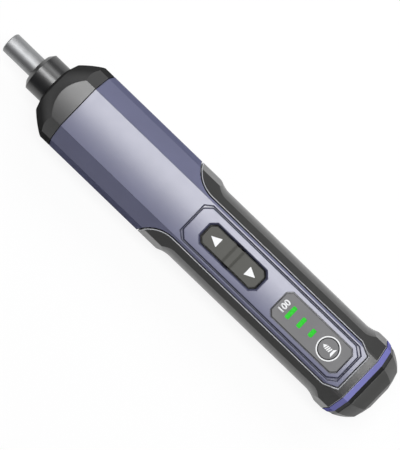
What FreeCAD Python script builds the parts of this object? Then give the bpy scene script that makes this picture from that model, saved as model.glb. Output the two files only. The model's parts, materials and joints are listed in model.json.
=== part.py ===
import FreeCAD, Part
import os
import re
import Sketcher

# Straight cordless screwdriver, lying on its back with the control panel up.
# X runs along the spindle axis from the bit holder's tip to the charging end, Z points out of the panel.
# Stations along X are counted from the tip, Y and Z from the spindle axis; every body is then shifted so
# that the origin lies under the middle of the tool, on the surface that it rests on.

# Counts
SUN_TEETH = 12
PLANET_TEETH = 15
RING_TEETH = SUN_TEETH + 2 * PLANET_TEETH
ARMATURE_POLES = 3

# Driving dimensions, in millimetres
SIZES = {
    # Faceted section of the body
    "chamfer_run": 6.7,
    "chamfer_drop": 6.6,
    "side_lean": 2.4,
    "wall": 2.2,
    # Lengths along the axis
    "holder_reach": 15.7,
    "collar_reach": 9.5,
    "nose_length": 14.55,
    "nose_reveal": 0.25,
    "seam_setback": 5.45,
    "tail_land": 4.3,
    "ring_width": 2.35,
    "gasket_width": 1.75,
    "cap_length": 7.6,
    # Fits and overruns
    "fit_gap": 0.1,
    "run_gap": 0.05,
    "seat_gap": 0.3,
    "end_play": 0.15,
    "overrun": 1.0,
    # Bit holder and spindle
    "holder_radius": 4.55,
    "tip_bevel": 0.4,
    "hex_flats": 6.35,
    "hex_depth": 13.0,
    "magnet_radius": 2.5,
    "magnet_length": 3.0,
    "shoulder_radius": 6.3,
    "shoulder_length": 2.0,
    "journal_radius": 4.3,
    "tang_flats": 5.8,
    "bush_wall": 1.9,
    "bush_length": 10.4,
    "washer_thick": 0.6,
    # Gear case and nose cap
    "collar_radius": 8.85,
    "collar_bevel_run": 1.5,
    "collar_bevel_drop": 1.85,
    "web_length": 6.0,
    "neck_radius": 8.0,
    "collar_front": 1.4,
    "case_slope": 2.2,
    "case_wall": 1.4,
    "carrier_gap": 0.4,
    "flange_thick": 2.0,
    "neck_length": 2.8,
    "neck_slope": 3.5,
    "nose_clear": 2.2,
    "cone_run": 1.4,
    "cone_top": 12.6,
    "nose_dome_run": 8.3,
    "nose_dome_rise": 6.35,
    "nose_dome_radius": 44.5,
    "lip_length": 1.2,
    # Gearbox
    "gear_module": 0.5,
    "planet_width": 6.0,
    "pin_radius": 0.95,
    "stub_radius": 1.6,
    "carrier_overhang": 1.8,
    "carrier_thick": 2.7,
    "carrier_margin": 2.45,
    "hub_radius": 6.2,
    "ring_wall": 1.1,
    "gear_margin": 0.7,
    "lug_offset": 1.8,
    "lug_radius": 1.9,
    "lug_sink": 0.8,
    "lug_clear": 0.734,
    "gear_depth": 4.0,
    "plate_thick": 2.0,
    # Screws
    "screw_radius": 0.9,
    "screw_clear": 0.2,
    "head_radius": 1.5,
    "head_height": 1.4,
    "case_screw_length": 10.0,
    "boss_radius": 2.0,
    "boss_sink": 0.3,
    "boss_length": 12.0,
    "motor_screw_rise": 8.0,
    "motor_head_radius": 2.1,
    "motor_head_height": 1.0,
    "motor_screw_length": 3.0,
    # Motor
    "air_gap": 0.6,
    "can_wall": 1.0,
    "can_face": 1.5,
    "can_boss_radius": 3.0,
    "can_boss_length": 1.2,
    "shaft_radius": 1.0,
    "motor_bush_radius": 2.2,
    "motor_bush_length": 2.6,
    "magnet_thick": 2.7,
    "magnet_split": 3.5,
    "armature_radius": 7.9,
    "armature_front": 6.0,
    "armature_length": 16.0,
    "slot_half": 1.2,
    "slot_root": 3.6,
    "coil_rim": 0.7,
    "coil_overhang": 1.0,
    "commutator_radius": 2.8,
    "commutator_gap": 1.5,
    "commutator_length": 4.5,
    "brush_half": 1.0,
    "brush_length": 3.1,
    "brush_width": 2.5,
    "brush_arm": 0.5,
    "bell_clear": 0.5,
    "bell_plug": 2.0,
    "bell_thick": 2.0,
    "bell_boss_radius": 3.5,
    "bell_boss_length": 1.5,
    "terminal_side": 6.5,
    "terminal_half": 1.0,
    "terminal_thick": 0.5,
    "terminal_length": 3.4,
    "lead_radius": 0.8,
    "lead_bend": 3.5,
    # Seam, tongue and panel
    "tongue_lip": 0.8,
    "tongue_tip_in": 2.4,
    "tongue_tip_run": 5.1,
    "seam_radius": 14.2,
    "seam_gap": 0.5,
    "seam_bevel": 0.45,
    "groove_front": 12.4,
    "groove_margin": 1.6,
    "groove_inset": 1.4,
    "groove_width": 1.1,
    "groove_depth": 0.45,
    "groove_cut_run": 3.1,
    "groove_cut_rise": 2.35,
    "spigot_length": 3.6,
    "spigot_root": 2.0,
    "can_clear": 0.4,
    # Rocker
    "window_half_length": 14.9,
    "window_half_width": 4.85,
    "window_cut": 2.0,
    "window_bevel": 0.8,
    "rocker_half_length": 14.1,
    "rocker_half_width": 4.2,
    "rocker_cut": 1.75,
    "rocker_sink": 0.2,
    "rocker_thick": 2.8,
    "ridge_half_foot": 2.3,
    "ridge_half_top": 1.2,
    "ridge_height": 0.6,
    "pivot_drop": 4.0,
    "pivot_hub_radius": 1.5,
    "pivot_hub_half": 5.6,
    "pivot_pin_radius": 0.75,
    "ear_half": 2.0,
    "ear_thick": 2.0,
    "leg_place": 9.0,
    "leg_half": 0.8,
    "leg_length": 0.92,
    # Status panel, light guide and mode button
    "panel_margin": 4.5,
    "panel_length": 35.0,
    "panel_half": 6.24,
    "panel_gap": 0.3,
    "panel_cut": 2.0,
    "panel_thick": 0.8,
    "bar_half_width": 0.92,
    "bar_half_long": 2.8,
    "bar_half_step": 0.55,
    "bar_round": 0.4,
    "guide_web": 0.8,
    "guide_margin": 1.5,
    "guide_lift": 1.1,
    "lamp_half": 0.8,
    "lamp_height": 0.8,
    "mode_margin": 8.5,
    "mode_radius": 4.0,
    "mode_gap": 0.3,
    "mode_proud": 0.1,
    "mode_flange_radius": 5.0,
    "mode_flange_thick": 0.7,
    "mode_stem_radius": 1.6,
    # Boards and switches
    "board_drop": 4.4,
    "board_thick": 1.2,
    "board_inset": 0.8,
    "board_lead": 3.0,
    "switch_half": 2.6,
    "switch_height": 1.6,
    "plunger_radius": 1.3,
    "plunger_rise": 0.55,
    "plunger_sink": 0.7,
    "plunger_well": 1.3,
    "chip_half": 2.5,
    "chip_height": 0.9,
    "driver_place": 3.6,
    "chip_side": 6.4,
    "controller_place": 4.5,
    # Cell and core frame
    "cell_radius": 9.2,
    "cell_length": 65.0,
    "cell_nub_radius": 3.0,
    "cell_nub_height": 0.8,
    "cell_edge": 0.6,
    "cell_clear": 1.8,
    "cell_fit": 0.25,
    "tab_thick": 0.3,
    "tab_half": 3.0,
    "tab_drop": 4.0,
    "lead_bay": 10.7,
    "charge_bay": 12.45,
    "frame_wall": 1.2,
    "frame_side": 2.75,
    "frame_floor": 1.9,
    "frame_clear": 2.72,
    "frame_foot_run": 3.6,
    "frame_foot_rise": 4.3,
    "rail_width": 4.0,
    "bay_wall": 2.0,
    "bay_floor": 2.0,
    # Grip
    "grip_wall": 2.5,
    "waist_drop": 1.48,
    "scoop_round": 23.8,
    "scoop_front": 9.4,
    "scoop_tail": 0.8,
    "scoop_run": 7.6,
    "scoop_lip_radius": 6.6,
    # Trim ring, gasket and end cap
    "gasket_inset": 0.15,
    "tail_proud": 0.08,
    "tail_dome_run": 10.1,
    "tail_dome_drop": 4.98,
    "tail_dome_radius": 18.45,
    "cap_face": 9.8,
    "cap_wall": 2.2,
    "cap_bore": 11.0,
    "cap_spigot": 4.5,
    # Charge board and socket
    "charge_thick": 1.2,
    "charge_half_width": 9.4,
    "charge_half_depth": 5.0,
    "post_side": 7.5,
    "post_radius": 1.8,
    "post_screw_length": 4.0,
    "socket_length": 8.5,
    "socket_half_width": 4.47,
    "socket_half_depth": 1.63,
    "socket_wall": 0.3,
    "socket_back": 1.0,
    "socket_gap": 0.2,
    "tongue_blade_half": 3.35,
    "tongue_blade_thick": 0.7,
    "tongue_blade_length": 6.5,
    "charge_lead_side": 3.0,
    "charge_lead_rise": 3.5,
    "charge_lead_inset": 2.8,
}

# How far the corners of the section move, across and up, for each unit that its faces move in
INSET_SHARES = ((0.41, 1.0), (0.90, 0.52), (1.03, 0.0))
# Corners of the grip's cavity as parts of its half width and half depth
CAVITY_SHARES = ((0.60, 1.0), (0.85, 0.71), (1.0, 0.21))
# Half widths of the gap between two teeth at its root and at its mouth, in modules
SUN_GAP_SHARES = (0.40, 1.60)
PLANET_GAP_SHARES = (0.40, 1.52)
RING_GAP_SHARES = (0.43, 1.14)
# Places of the light bars between the panel's front and the mode button
BAR_SHARES = (0.245, 0.457, 0.672)
# How much of the spare length between groove and status panel lies in front of the rocker's window
WINDOW_SHARE = 0.390625
# Lean of the groove's walls, in degrees
GROOVE_LEAN = 45
# Largest upward part of the normal of a wall that counts as upright
UPRIGHT_SHARE = 0.1
# Direction of the chamfer's normal, across and up
CHAMFER_SHARES = (0.70, 0.71)
# Height of a tooth above and below the pitch circle, in modules
TIP_SHARE = 0.9
ROOT_SHARE = 1.2


def larger(first, second):
    """Formula for the larger of two lengths."""
    return f"(({first}) + ({second}) + abs(({first}) - ({second}))) / 2"


# Stations, radii and heights that follow from the driving dimensions
PLACES = {
    # Section, sized from the cell with what lies around it, and from the gearbox with its lugs
    "depth_stack": "grip_wall + frame_floor + 2 * cell_radius + cell_clear + board_thick + board_drop"
                   " + wall",
    "half_depth": larger("depth_stack / 2", "ring_outer + gear_depth"),
    "frame_half": "cell_radius + cell_fit + frame_side",
    "grip_need": "frame_half + frame_clear + grip_wall + waist_drop",
    "gear_need": f"lug_reach + lug_radius + lug_clear + {INSET_SHARES[-1][0]} * wall",
    "half_width": larger("grip_need", "gear_need"),
    "corner_half": "half_width - side_lean",
    "flat_half": "corner_half - chamfer_run",
    "corner_rise": "half_depth - chamfer_drop",
    # Lengths, sized from the gearbox, motor and cell
    "nose_front": "holder_reach + collar_reach",
    "nose_seam": "nose_front + nose_length",
    "barrel_end": "can_rear - seam_setback",
    "tongue_end": "grip_end - tail_land",
    "grip_front": "barrel_end + seam_gap",
    "grip_end": "frame_rear + cap_spigot",
    "ring_end": "grip_end + ring_width",
    "gasket_end": "ring_end + gasket_width",
    "overall_length": "gasket_end + cap_length",
    "far_side": "half_width + 3 * overrun",
    # Spindle
    "hex_half": "hex_flats / 2 + run_gap",
    "bush_end": "holder_reach + bush_length",
    "bush_bore": "holder_radius + run_gap",
    "bush_radius": "bush_bore + bush_wall",
    "shoulder_front": "bush_end + end_play",
    "shoulder_end": "shoulder_front + shoulder_length",
    "web_front": "shoulder_end + end_play + washer_thick",
    "web_end": "web_front + web_length",
    "web_bore": "journal_radius + run_gap",
    # Gear case
    "nose_rim": "collar_radius + fit_gap",
    "neck_bore": "neck_radius + fit_gap",
    "case_step": "nose_front + neck_length + seat_gap",
    "flange_front": "nose_seam + lip_length + seat_gap",
    "case_end": "flange_front + flange_thick",
    "case_cavity": "carrier_radius + carrier_gap",
    "case_radius": "case_cavity + case_wall",
    "nose_bore": "case_radius + nose_clear",
    "flange_inset": "wall + fit_gap",
    "boss_depth": "wall + boss_radius - boss_sink",
    "case_screw_side": f"(flat_half + corner_half) / 2 - {CHAMFER_SHARES[0]} * boss_depth",
    "case_screw_rise": f"(half_depth + corner_rise) / 2 - {CHAMFER_SHARES[1]} * boss_depth",
    # Gearbox
    "sun_pitch": f"gear_module * {SUN_TEETH} / 2",
    "planet_pitch": f"gear_module * {PLANET_TEETH} / 2",
    "orbit": "sun_pitch + planet_pitch",
    "ring_pitch": "orbit + planet_pitch",
    "ring_outer": f"ring_pitch + gear_module * {ROOT_SHARE} + ring_wall",
    "lug_reach": larger("ring_outer", "can_radius") + " + lug_offset",
    "lug_root": "ring_outer - lug_sink",
    "carrier_radius": "orbit + carrier_margin",
    "tang_front": "web_end + end_play",
    "hub_front": "web_end + seat_gap",
    "output_rear": "case_end + carrier_overhang",
    "output_front": "output_rear - carrier_thick",
    "stage2_front": "output_rear + seat_gap",
    "stage2_rear": "stage2_front + planet_width",
    "middle_front": "stage2_rear + seat_gap",
    "middle_rear": "middle_front + carrier_thick",
    "stage1_front": "middle_rear + seat_gap",
    "stage1_rear": "stage1_front + planet_width",
    "ring_rear": "stage1_rear + gear_margin",
    "motor_front": "ring_rear + plate_thick",
    # Motor
    "can_inner": "armature_radius + air_gap + magnet_thick",
    "can_radius": "can_inner + can_wall",
    "spigot_bore": "can_radius + can_clear",
    "armature_start": "motor_front + armature_front",
    "commutator_start": "armature_start + armature_length + commutator_gap",
    "brush_start": "commutator_start + (commutator_length - brush_width) / 2",
    "bell_front": "commutator_start + commutator_length + bell_clear",
    "can_rear": "bell_front + bell_plug",
    "bell_rear": "can_rear + bell_thick",
    "bell_end": "bell_rear + bell_boss_length",
    "bell_bore_end": "bell_end - can_wall / 2",
    "terminal_end": "bell_rear + terminal_length",
    # Seam and tongue
    "tongue_half": "flat_half + tongue_lip",
    "tongue_tip_half": "tongue_half - tongue_tip_in",
    "groove_half": "tongue_half - groove_inset",
    "groove_low": "barrel_end + groove_front",
    "groove_high": "tongue_end - groove_margin",
    "seam_centre": "tongue_half + seam_radius",
    "seam_tangent": "barrel_end + sqrt(seam_radius^2 - (seam_centre - half_width)^2)",
    "tongue_tip": "tongue_end - tongue_tip_run",
    "tongue_under": "half_depth - wall",
    "slot_half_width": "tongue_half + seam_gap",
    "slot_end": "tongue_end + seam_gap",
    "slot_tip_half": "tongue_tip_half + seam_gap / 2",
    "seam_side": "half_width + overrun",
    "slot_arc": "seam_tangent - sqrt((seam_radius - seam_gap)^2 - (seam_centre - seam_side)^2)",
    # Grip
    "waist_half": "half_width - waist_drop",
    "cavity_half": "waist_half - grip_wall",
    "cavity_depth": "half_depth - grip_wall",
    "scoop_drop": "half_width + run_gap - waist_half",
    "scoop_sum": "(scoop_run^2 + scoop_drop^2) / (2 * scoop_drop)",
    "scoop_heel_radius": "scoop_sum - scoop_lip_radius",
    "scoop_start": "barrel_end + scoop_front",
    "scoop_stop": "tongue_end + scoop_tail",
    "scoop_rim": "half_width + run_gap",
    "scoop_bend": "scoop_run * scoop_lip_radius / scoop_sum",
    "scoop_bend_drop": "scoop_drop * scoop_lip_radius / scoop_sum",
    "scoop_tip": "scoop_rim - scoop_round + sqrt(scoop_round^2 - half_width^2)",
    # Controls
    "window_room": "panel_front - groove_low - groove_width - 2 * window_half_length",
    "window_front": f"groove_low + groove_width + {WINDOW_SHARE} * window_room",
    "rocker_centre": "window_front + window_half_length",
    "rocker_top": "half_depth - rocker_sink",
    "rocker_under": "rocker_top - rocker_thick",
    "pivot_height": "half_depth - pivot_drop",
    "ear_inner": "pivot_hub_half + seat_gap",
    "ear_outer": "ear_inner + ear_thick",
    "panel_rear": "tongue_end - panel_margin",
    "panel_front": "panel_rear - panel_length",
    "panel_under": "half_depth - panel_thick",
    "mode_centre": "panel_rear - mode_margin",
    "bar_run": "mode_centre - panel_front",
    "mode_hole": "mode_radius + mode_gap",
    # Boards
    "board_top": "tongue_under - board_drop",
    "board_under": "board_top - board_thick",
    "switch_top": "board_top + switch_height",
    "plunger_top": "switch_top + plunger_rise",
    "board_half": "frame_half - board_inset",
    "frame_foot_half": "frame_half - frame_foot_run",
    "rail_inner": "frame_half - rail_width",
    "bay_half": "frame_half - bay_wall",
    "frame_front": "bell_rear + lead_bay",
    "board_front": "frame_front - board_lead",
    "cell_axis": "board_under - cell_clear - cell_radius",
    "tray_front": "frame_front + frame_wall",
    "cell_front": "tray_front + tab_thick",
    "cell_rear": "cell_front + cell_length",
    "tray_rear": "cell_rear + tab_thick",
    "bay_front": "tray_rear + frame_wall",
    "frame_rear": "bay_front + charge_bay",
    "board_rear": "frame_rear - board_lead",
    # Tail
    "socket_mouth": "overall_length - socket_wall",
    "charge_rear": "socket_mouth - socket_length",
    "charge_front": "charge_rear - charge_thick",
    "cap_inside": "overall_length - cap_wall",
    "tail_start": "half_width + tail_proud",
    "tail_reach": "sqrt(tail_dome_radius ^ 2 / (tail_dome_run ^ 2 + tail_dome_drop ^ 2) - 1 / 4)",
    "tail_along": "tail_dome_run / 2 - tail_dome_drop * tail_reach",
    "tail_aside": "tail_start - tail_dome_drop / 2 - tail_dome_run * tail_reach",
    "cap_run": "ring_width + gasket_width",
    "cap_third": "cap_run + (tail_dome_run - cap_run) / 3",
    "cap_two_thirds": "cap_run + (tail_dome_run - cap_run) * 2 / 3",
    "charge_lead_end": "board_rear - charge_lead_inset",
}

doc = FreeCAD.newDocument("Screwdriver")
sheet = doc.addObject("Spreadsheet::Sheet", "Sizes")
for row, (name, value) in enumerate(SIZES.items(), 1):
    sheet.set(f"A{row}", name)
    sheet.set(f"B{row}", str(value))
    sheet.setAlias(f"B{row}", name)
doc.recompute()

WORD = re.compile(r"[A-Za-z_]\w*")
pieces = []


def spell(text):
    """The formula as an expression on the sheet's cells, with places written out."""
    def swap(match):
        word = match.group(0)
        if word in SIZES:
            return f"Sizes.{word}"
        return f"({spell(PLACES[word])})" if word in PLACES else word
    return WORD.sub(swap, text)


def amount(text):
    """The formula's value now, used to draw a sketch near its solved form."""
    def swap(match):
        word = match.group(0)
        if word in SIZES:
            return f"{sheet.get(word):.9f}"
        return f"({amount(PLACES[word]):.9f})" if word in PLACES else word
    return FreeCAD.Units.Quantity(WORD.sub(swap, text)).Value


def minus(text):
    return text if text == "0" else f"-({text})"


def whole_outline(quarter):
    """Mirror a quarter outline, listed from the top down to the side, to a whole one."""
    lower = [(across, minus(up)) for across, up in reversed(quarter) if up != "0"]
    right = list(quarter) + lower
    left = [(minus(across), up) for across, up in reversed(right)]
    return right + left


def section(inset="0"):
    """The body's faceted section, with its faces moved in by an inset."""
    corners = (("flat_half", "half_depth"), ("corner_half", "corner_rise"), ("half_width", "0"))
    quarter = []
    for (across, up), (across_share, up_share) in zip(corners, INSET_SHARES):
        height = "0" if up == "0" else f"{up} - {up_share} * ({inset})"
        quarter.append((f"{across} - {across_share} * ({inset})", height))
    return whole_outline(quarter)


def cavity(gap="0"):
    """The grip's inner section, drawn in by a gap for what slides into it."""
    return whole_outline([(f"{across} * (cavity_half - {gap})", f"{up} * (cavity_depth - {gap})")
                          for across, up in CAVITY_SHARES])


def box_outline(low, high, half):
    return [(low, minus(half)), (high, minus(half)), (high, half), (low, half)]


def soft_outline(low, high, half, rounding):
    """A rectangle about the X axis with round corners."""
    left, right, top = f"{low} + {rounding}", f"{high} - ({rounding})", f"{half} - ({rounding})"
    return [
        (left, half, left, top, -1), (right, half),
        (high, top, right, top, -1), (high, minus(top)),
        (right, minus(half), right, minus(top), -1), (left, minus(half)),
        (low, minus(top), left, minus(top), -1), (low, top),
    ]


def cut_corner_outline(low, high, half, cut_run, cut_rise):
    """A long rectangle about the X axis with its four corners cut off."""
    return [
        (f"{low} + {cut_run}", half), (f"{high} - {cut_run}", half),
        (high, f"{half} - {cut_rise}"), (high, minus(f"{half} - {cut_rise}")),
        (f"{high} - {cut_run}", minus(half)), (f"{low} + {cut_run}", minus(half)),
        (low, minus(f"{half} - {cut_rise}")), (low, f"{half} - {cut_rise}"),
    ]


class Piece:
    """A sub-part: one body whose sketches and features are bound to the sheet."""

    def __init__(self, label, side="0", rise="0"):
        self.body = doc.addObject("PartDesign::Body", label)
        self.body.Label = label
        self.body.setExpression("Placement.Base.x", spell("-overall_length / 2"))
        self.body.setExpression("Placement.Base.y", spell(side))
        self.body.setExpression("Placement.Base.z", spell(f"half_depth + {rise}"))
        pieces.append(self.body)

    def origin(self, role):
        return next(item for item in self.body.Origin.OriginFeatures if item.Role == role)

    def sketch(self, plane, at="0"):
        drawing = self.body.newObject("Sketcher::SketchObject", "Sketch")
        drawing.AttachmentSupport = [(self.origin(plane), "")]
        drawing.MapMode = "FlatFace"
        drawing.setExpression("AttachmentOffset.Base.z", spell(at))
        return drawing

    def across(self, station):
        """A sketch square to the axis, with Y across and Z up."""
        return self.sketch("YZ_Plane", station)

    def plan(self, height="0"):
        """A sketch seen from above, with X across and Y up."""
        return self.sketch("XY_Plane", height)

    def profile(self, offset="0"):
        """A sketch seen from the side, with X across and Z up."""
        return self.sketch("XZ_Plane", offset)

    def settle(self, feature):
        self.body.Tip = feature
        doc.recompute()
        return feature

    def extrude(self, kind, drawing, length, reverse, both, lean=0):
        feature = self.body.newObject(f"PartDesign::{kind}", kind)
        feature.Profile = drawing
        if length is None:
            feature.Type = "ThroughAll"
        else:
            feature.setExpression("Length", spell(length))
        feature.Reversed = reverse
        if lean:
            feature.TaperAngle = lean
        if both:
            feature.SideType = "Symmetric"
        return self.settle(feature)

    def pad(self, drawing, length, reverse=False, both=False, lean=0):
        return self.extrude("Pad", drawing, length, reverse, both, lean)

    def checked_cut(self, make):
        before = self.body.Shape.Volume
        feature = make()
        if not self.body.Shape.Volume < before:
            raise RuntimeError(f"{self.body.Label}: {feature.Name} cuts nothing")
        return feature

    def cut(self, drawing, depth=None, reverse=False, both=False, lean=0):
        both = both or depth is None
        return self.checked_cut(lambda: self.extrude("Pocket", drawing, depth, reverse, both, lean))

    def spin(self, kind, drawing):
        feature = self.body.newObject(f"PartDesign::{kind}", kind)
        feature.Profile = drawing
        feature.ReferenceAxis = (drawing, ["H_Axis"])
        feature.Angle = 360
        return self.settle(feature)

    def turn(self, outline):
        """Revolve a closed outline of stations and radii about the axis."""
        drawing = self.plan()
        draw(drawing, outline)
        return self.spin("Revolution", drawing)

    def turn_cut(self, outline):
        drawing = self.plan()
        draw(drawing, outline)
        return self.checked_cut(lambda: self.spin("Groove", drawing))

    def around(self, feature, count):
        pattern = self.body.newObject("PartDesign::PolarPattern", "Pattern")
        pattern.Originals = [feature]
        pattern.Axis = (self.origin("X_Axis"), [""])
        pattern.Angle = 360
        pattern.Occurrences = count
        return self.settle(pattern)

    def mirror(self, feature):
        """Repeat a feature on the other side of the tool's middle plane."""
        copy = self.body.newObject("PartDesign::Mirrored", "Mirror")
        copy.Originals = [feature]
        copy.MirrorPlane = (self.origin("XZ_Plane"), [""])
        return self.settle(copy)

    def sweep(self, kind, drawing, path):
        feature = self.body.newObject(f"PartDesign::{kind}", kind)
        feature.Profile = drawing
        feature.Spine = (path, [f"Edge{edge + 1}" for edge in range(path.GeometryCount)])
        feature.Mode = "Fixed" if kind == "SubtractivePipe" else "Standard"
        return self.settle(feature)

    def loft(self, sections):
        """Join outlines at stations along the axis: two by straight edges, more by a smooth bow."""
        drawings = []
        for station, outline in sections:
            drawings.append(self.across(station))
            draw(drawings[-1], outline)
        feature = self.body.newObject("PartDesign::AdditiveLoft", "Loft")
        feature.Profile = drawings[0]
        feature.Sections = drawings[1:]
        return self.settle(feature)

    def bevel(self, size, chosen):
        """Chamfer the edges that a test chooses."""
        tip = self.body.Tip
        names = [f"Edge{number}" for number, edge in enumerate(tip.Shape.Edges, 1) if chosen(edge)]
        feature = self.body.newObject("PartDesign::Chamfer", "Chamfer")
        feature.Base = (tip, names)
        feature.setExpression("Size", spell(size))
        return self.settle(feature)


def hold(drawing, kind, part, end, text):
    number = drawing.addConstraint(Sketcher.Constraint(kind, -1, 1, part, end, amount(text)))
    drawing.setExpression(f"Constraints[{number}]", spell(text))


def draw(drawing, outline, closed=True):
    """Draw an outline of points. A point may carry the centre and the turn of the arc that leads to it:
    (across, up, centre across, centre up, turn), with a turn of 1 for anticlockwise and -1 for clockwise."""
    spots = [FreeCAD.Vector(amount(point[0]), amount(point[1]), 0) for point in outline]
    count = len(outline)
    steps = [(index, (index + 1) % count) for index in range(count if closed else count - 1)]
    lines = []
    for start, end in steps:
        if len(outline[end]) == 2:
            lines.append(drawing.addGeometry(Part.LineSegment(spots[start], spots[end]), False))
            continue
        across, up, turn = outline[end][2:]
        centre = FreeCAD.Vector(amount(across), amount(up), 0)
        circle = Part.Circle(centre, FreeCAD.Vector(0, 0, 1), (spots[start] - centre).Length)
        first, last = (start, end) if turn > 0 else (end, start)
        arc = Part.ArcOfCircle(circle, circle.parameter(spots[first]), circle.parameter(spots[last]))
        lines.append(drawing.addGeometry(arc, False))
    starts, ends = {}, {}
    for line, (start, end) in zip(lines, steps):
        backwards = len(outline[end]) > 2 and outline[end][4] < 0
        starts[start] = (line, 2 if backwards else 1)
        ends[end] = (line, 1 if backwards else 2)
    for index in range(count):
        if index in starts and index in ends:
            drawing.addConstraint(Sketcher.Constraint("Coincident", *ends[index], *starts[index]))
        part, end = starts.get(index) or ends[index]
        along = (True, True)
        if index in ends and len(outline[index]) > 2:
            part, end = ends[index]
            across, up = outline[index][2:4]
            arm = spots[index] - FreeCAD.Vector(amount(across), amount(up), 0)
            along = (abs(arm.y) >= abs(arm.x), abs(arm.y) < abs(arm.x))
            hold(drawing, "DistanceX", part, 3, across)
            hold(drawing, "DistanceY", part, 3, up)
        if along[0]:
            hold(drawing, "DistanceX", part, end, outline[index][0])
        if along[1]:
            hold(drawing, "DistanceY", part, end, outline[index][1])


def circles(drawing, radius, centres=(("0", "0"),)):
    for across, up in centres:
        spot = FreeCAD.Vector(amount(across), amount(up), 0)
        ring = drawing.addGeometry(Part.Circle(spot, FreeCAD.Vector(0, 0, 1), amount(radius)), False)
        hold(drawing, "DistanceX", ring, 3, across)
        hold(drawing, "DistanceY", ring, 3, up)
        number = drawing.addConstraint(Sketcher.Constraint("Radius", ring, amount(radius)))
        drawing.setExpression(f"Constraints[{number}]", spell(radius))


def pad_outline(piece, drawing, outline, length, **ways):
    draw(drawing, outline)
    return piece.pad(drawing, length, **ways)


def cut_outline(piece, drawing, outline, depth=None, **ways):
    draw(drawing, outline)
    return piece.cut(drawing, depth, **ways)


def pad_circles(piece, drawing, radius, length, centres=(("0", "0"),), **ways):
    circles(drawing, radius, centres)
    return piece.pad(drawing, length, **ways)


def cut_circles(piece, drawing, radius, depth=None, centres=(("0", "0"),), **ways):
    circles(drawing, radius, centres)
    return piece.cut(drawing, depth, **ways)


def four(across, up):
    """The four mirror images of a point about the axis."""
    return [(across, up), (minus(across), up), (minus(across), minus(up)), (across, minus(up))]


def pair(across, up="0"):
    return [(across, up), (minus(across), up)]


def tube(label, start, end, outer, inner=None):
    """A round rod or tube on the axis."""
    piece = Piece(label)
    drawing = piece.across(start)
    circles(drawing, outer)
    if inner:
        circles(drawing, inner)
    piece.pad(drawing, f"{end} - ({start})")
    return piece


def rods(label, centres, steps):
    """Round stepped rods along X, such as pins and screws, as one group."""
    piece = Piece(label)
    for start, end, radius in steps:
        pad_circles(piece, piece.across(start), radius, f"{end} - ({start})", centres)
    return piece


def dome_centre(start_x, start_r, run, rise, radius):
    """Centre of an arc that runs on from a point by a run and a rise and bulges away from the axis."""
    reach = f"sqrt(({radius})^2 / (({run})^2 + ({rise})^2) - 1 / 4)"
    return f"{start_x} + ({run}) / 2 + ({rise}) * {reach}", f"{start_r} + ({rise}) / 2 - ({run}) * {reach}"


# Spindle, bush and gear case

def make_spindle():
    piece = Piece("spindle")
    piece.turn([
        ("0", "0"), ("0", "holder_radius - tip_bevel"), ("tip_bevel", "holder_radius"),
        ("shoulder_front", "holder_radius"), ("shoulder_front", "shoulder_radius"),
        ("shoulder_end", "shoulder_radius"), ("shoulder_end", "journal_radius"),
        ("tang_front", "journal_radius"), ("tang_front", "0"),
    ])
    tang = [(across, up) for across, up in four("tang_flats / 2", "tang_flats / 2")]
    pad_outline(piece, piece.across("tang_front"), tang, "output_rear - tang_front")
    corner = "hex_half / sqrt(3)"
    hexagon = [("hex_half", corner), ("0", f"2 * {corner}"), ("-hex_half", corner),
               ("-hex_half", minus(corner)), ("0", minus(f"2 * {corner}")), ("hex_half", minus(corner))]
    cut_outline(piece, piece.across("0"), hexagon, "hex_depth", reverse=True)
    cut_circles(piece, piece.across("0"), "magnet_radius + run_gap", "hex_depth + magnet_length",
                reverse=True)


def make_spindle_fittings():
    tube("bit_magnet", "hex_depth", "hex_depth + magnet_length", "magnet_radius")
    tube("spindle_bush", "holder_reach", "bush_end", "bush_radius", "bush_bore")
    tube("thrust_washer", "web_front - washer_thick", "web_front", "bush_radius - fit_gap", "web_bore")


def make_snout_collar():
    piece = Piece("snout_collar")
    piece.turn([
        ("holder_reach", "bush_radius + end_play"), ("holder_reach", "collar_radius - collar_bevel_drop"),
        ("holder_reach + collar_bevel_run", "collar_radius"), ("nose_front", "collar_radius"),
        ("nose_front", "neck_radius"), ("holder_reach + collar_front", "neck_radius"),
        ("holder_reach + collar_front", "bush_radius + end_play"),
    ])


def make_gear_case():
    piece = Piece("gear_case")
    piece.turn([
        ("holder_reach + collar_front", "bush_radius"), ("holder_reach + collar_front", "neck_radius"),
        ("case_step", "neck_radius"), ("case_step + case_slope", "case_radius"), ("case_end", "case_radius"),
        ("case_end", "case_cavity"), ("web_end", "case_cavity"), ("web_end", "web_bore"),
        ("web_front", "web_bore"), ("web_front", "bush_radius"),
    ])
    drawing = piece.across("flange_front")
    draw(drawing, section("flange_inset"))
    circles(drawing, "case_cavity")
    piece.pad(drawing, "flange_thick")
    cut_circles(piece, piece.across("case_end"), "screw_radius + screw_clear", "flange_thick",
                four("case_screw_side", "case_screw_rise"))
    cut_circles(piece, piece.across("case_end"), "screw_radius", "flange_thick", pair("lug_reach"))


# Nose cap

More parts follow.
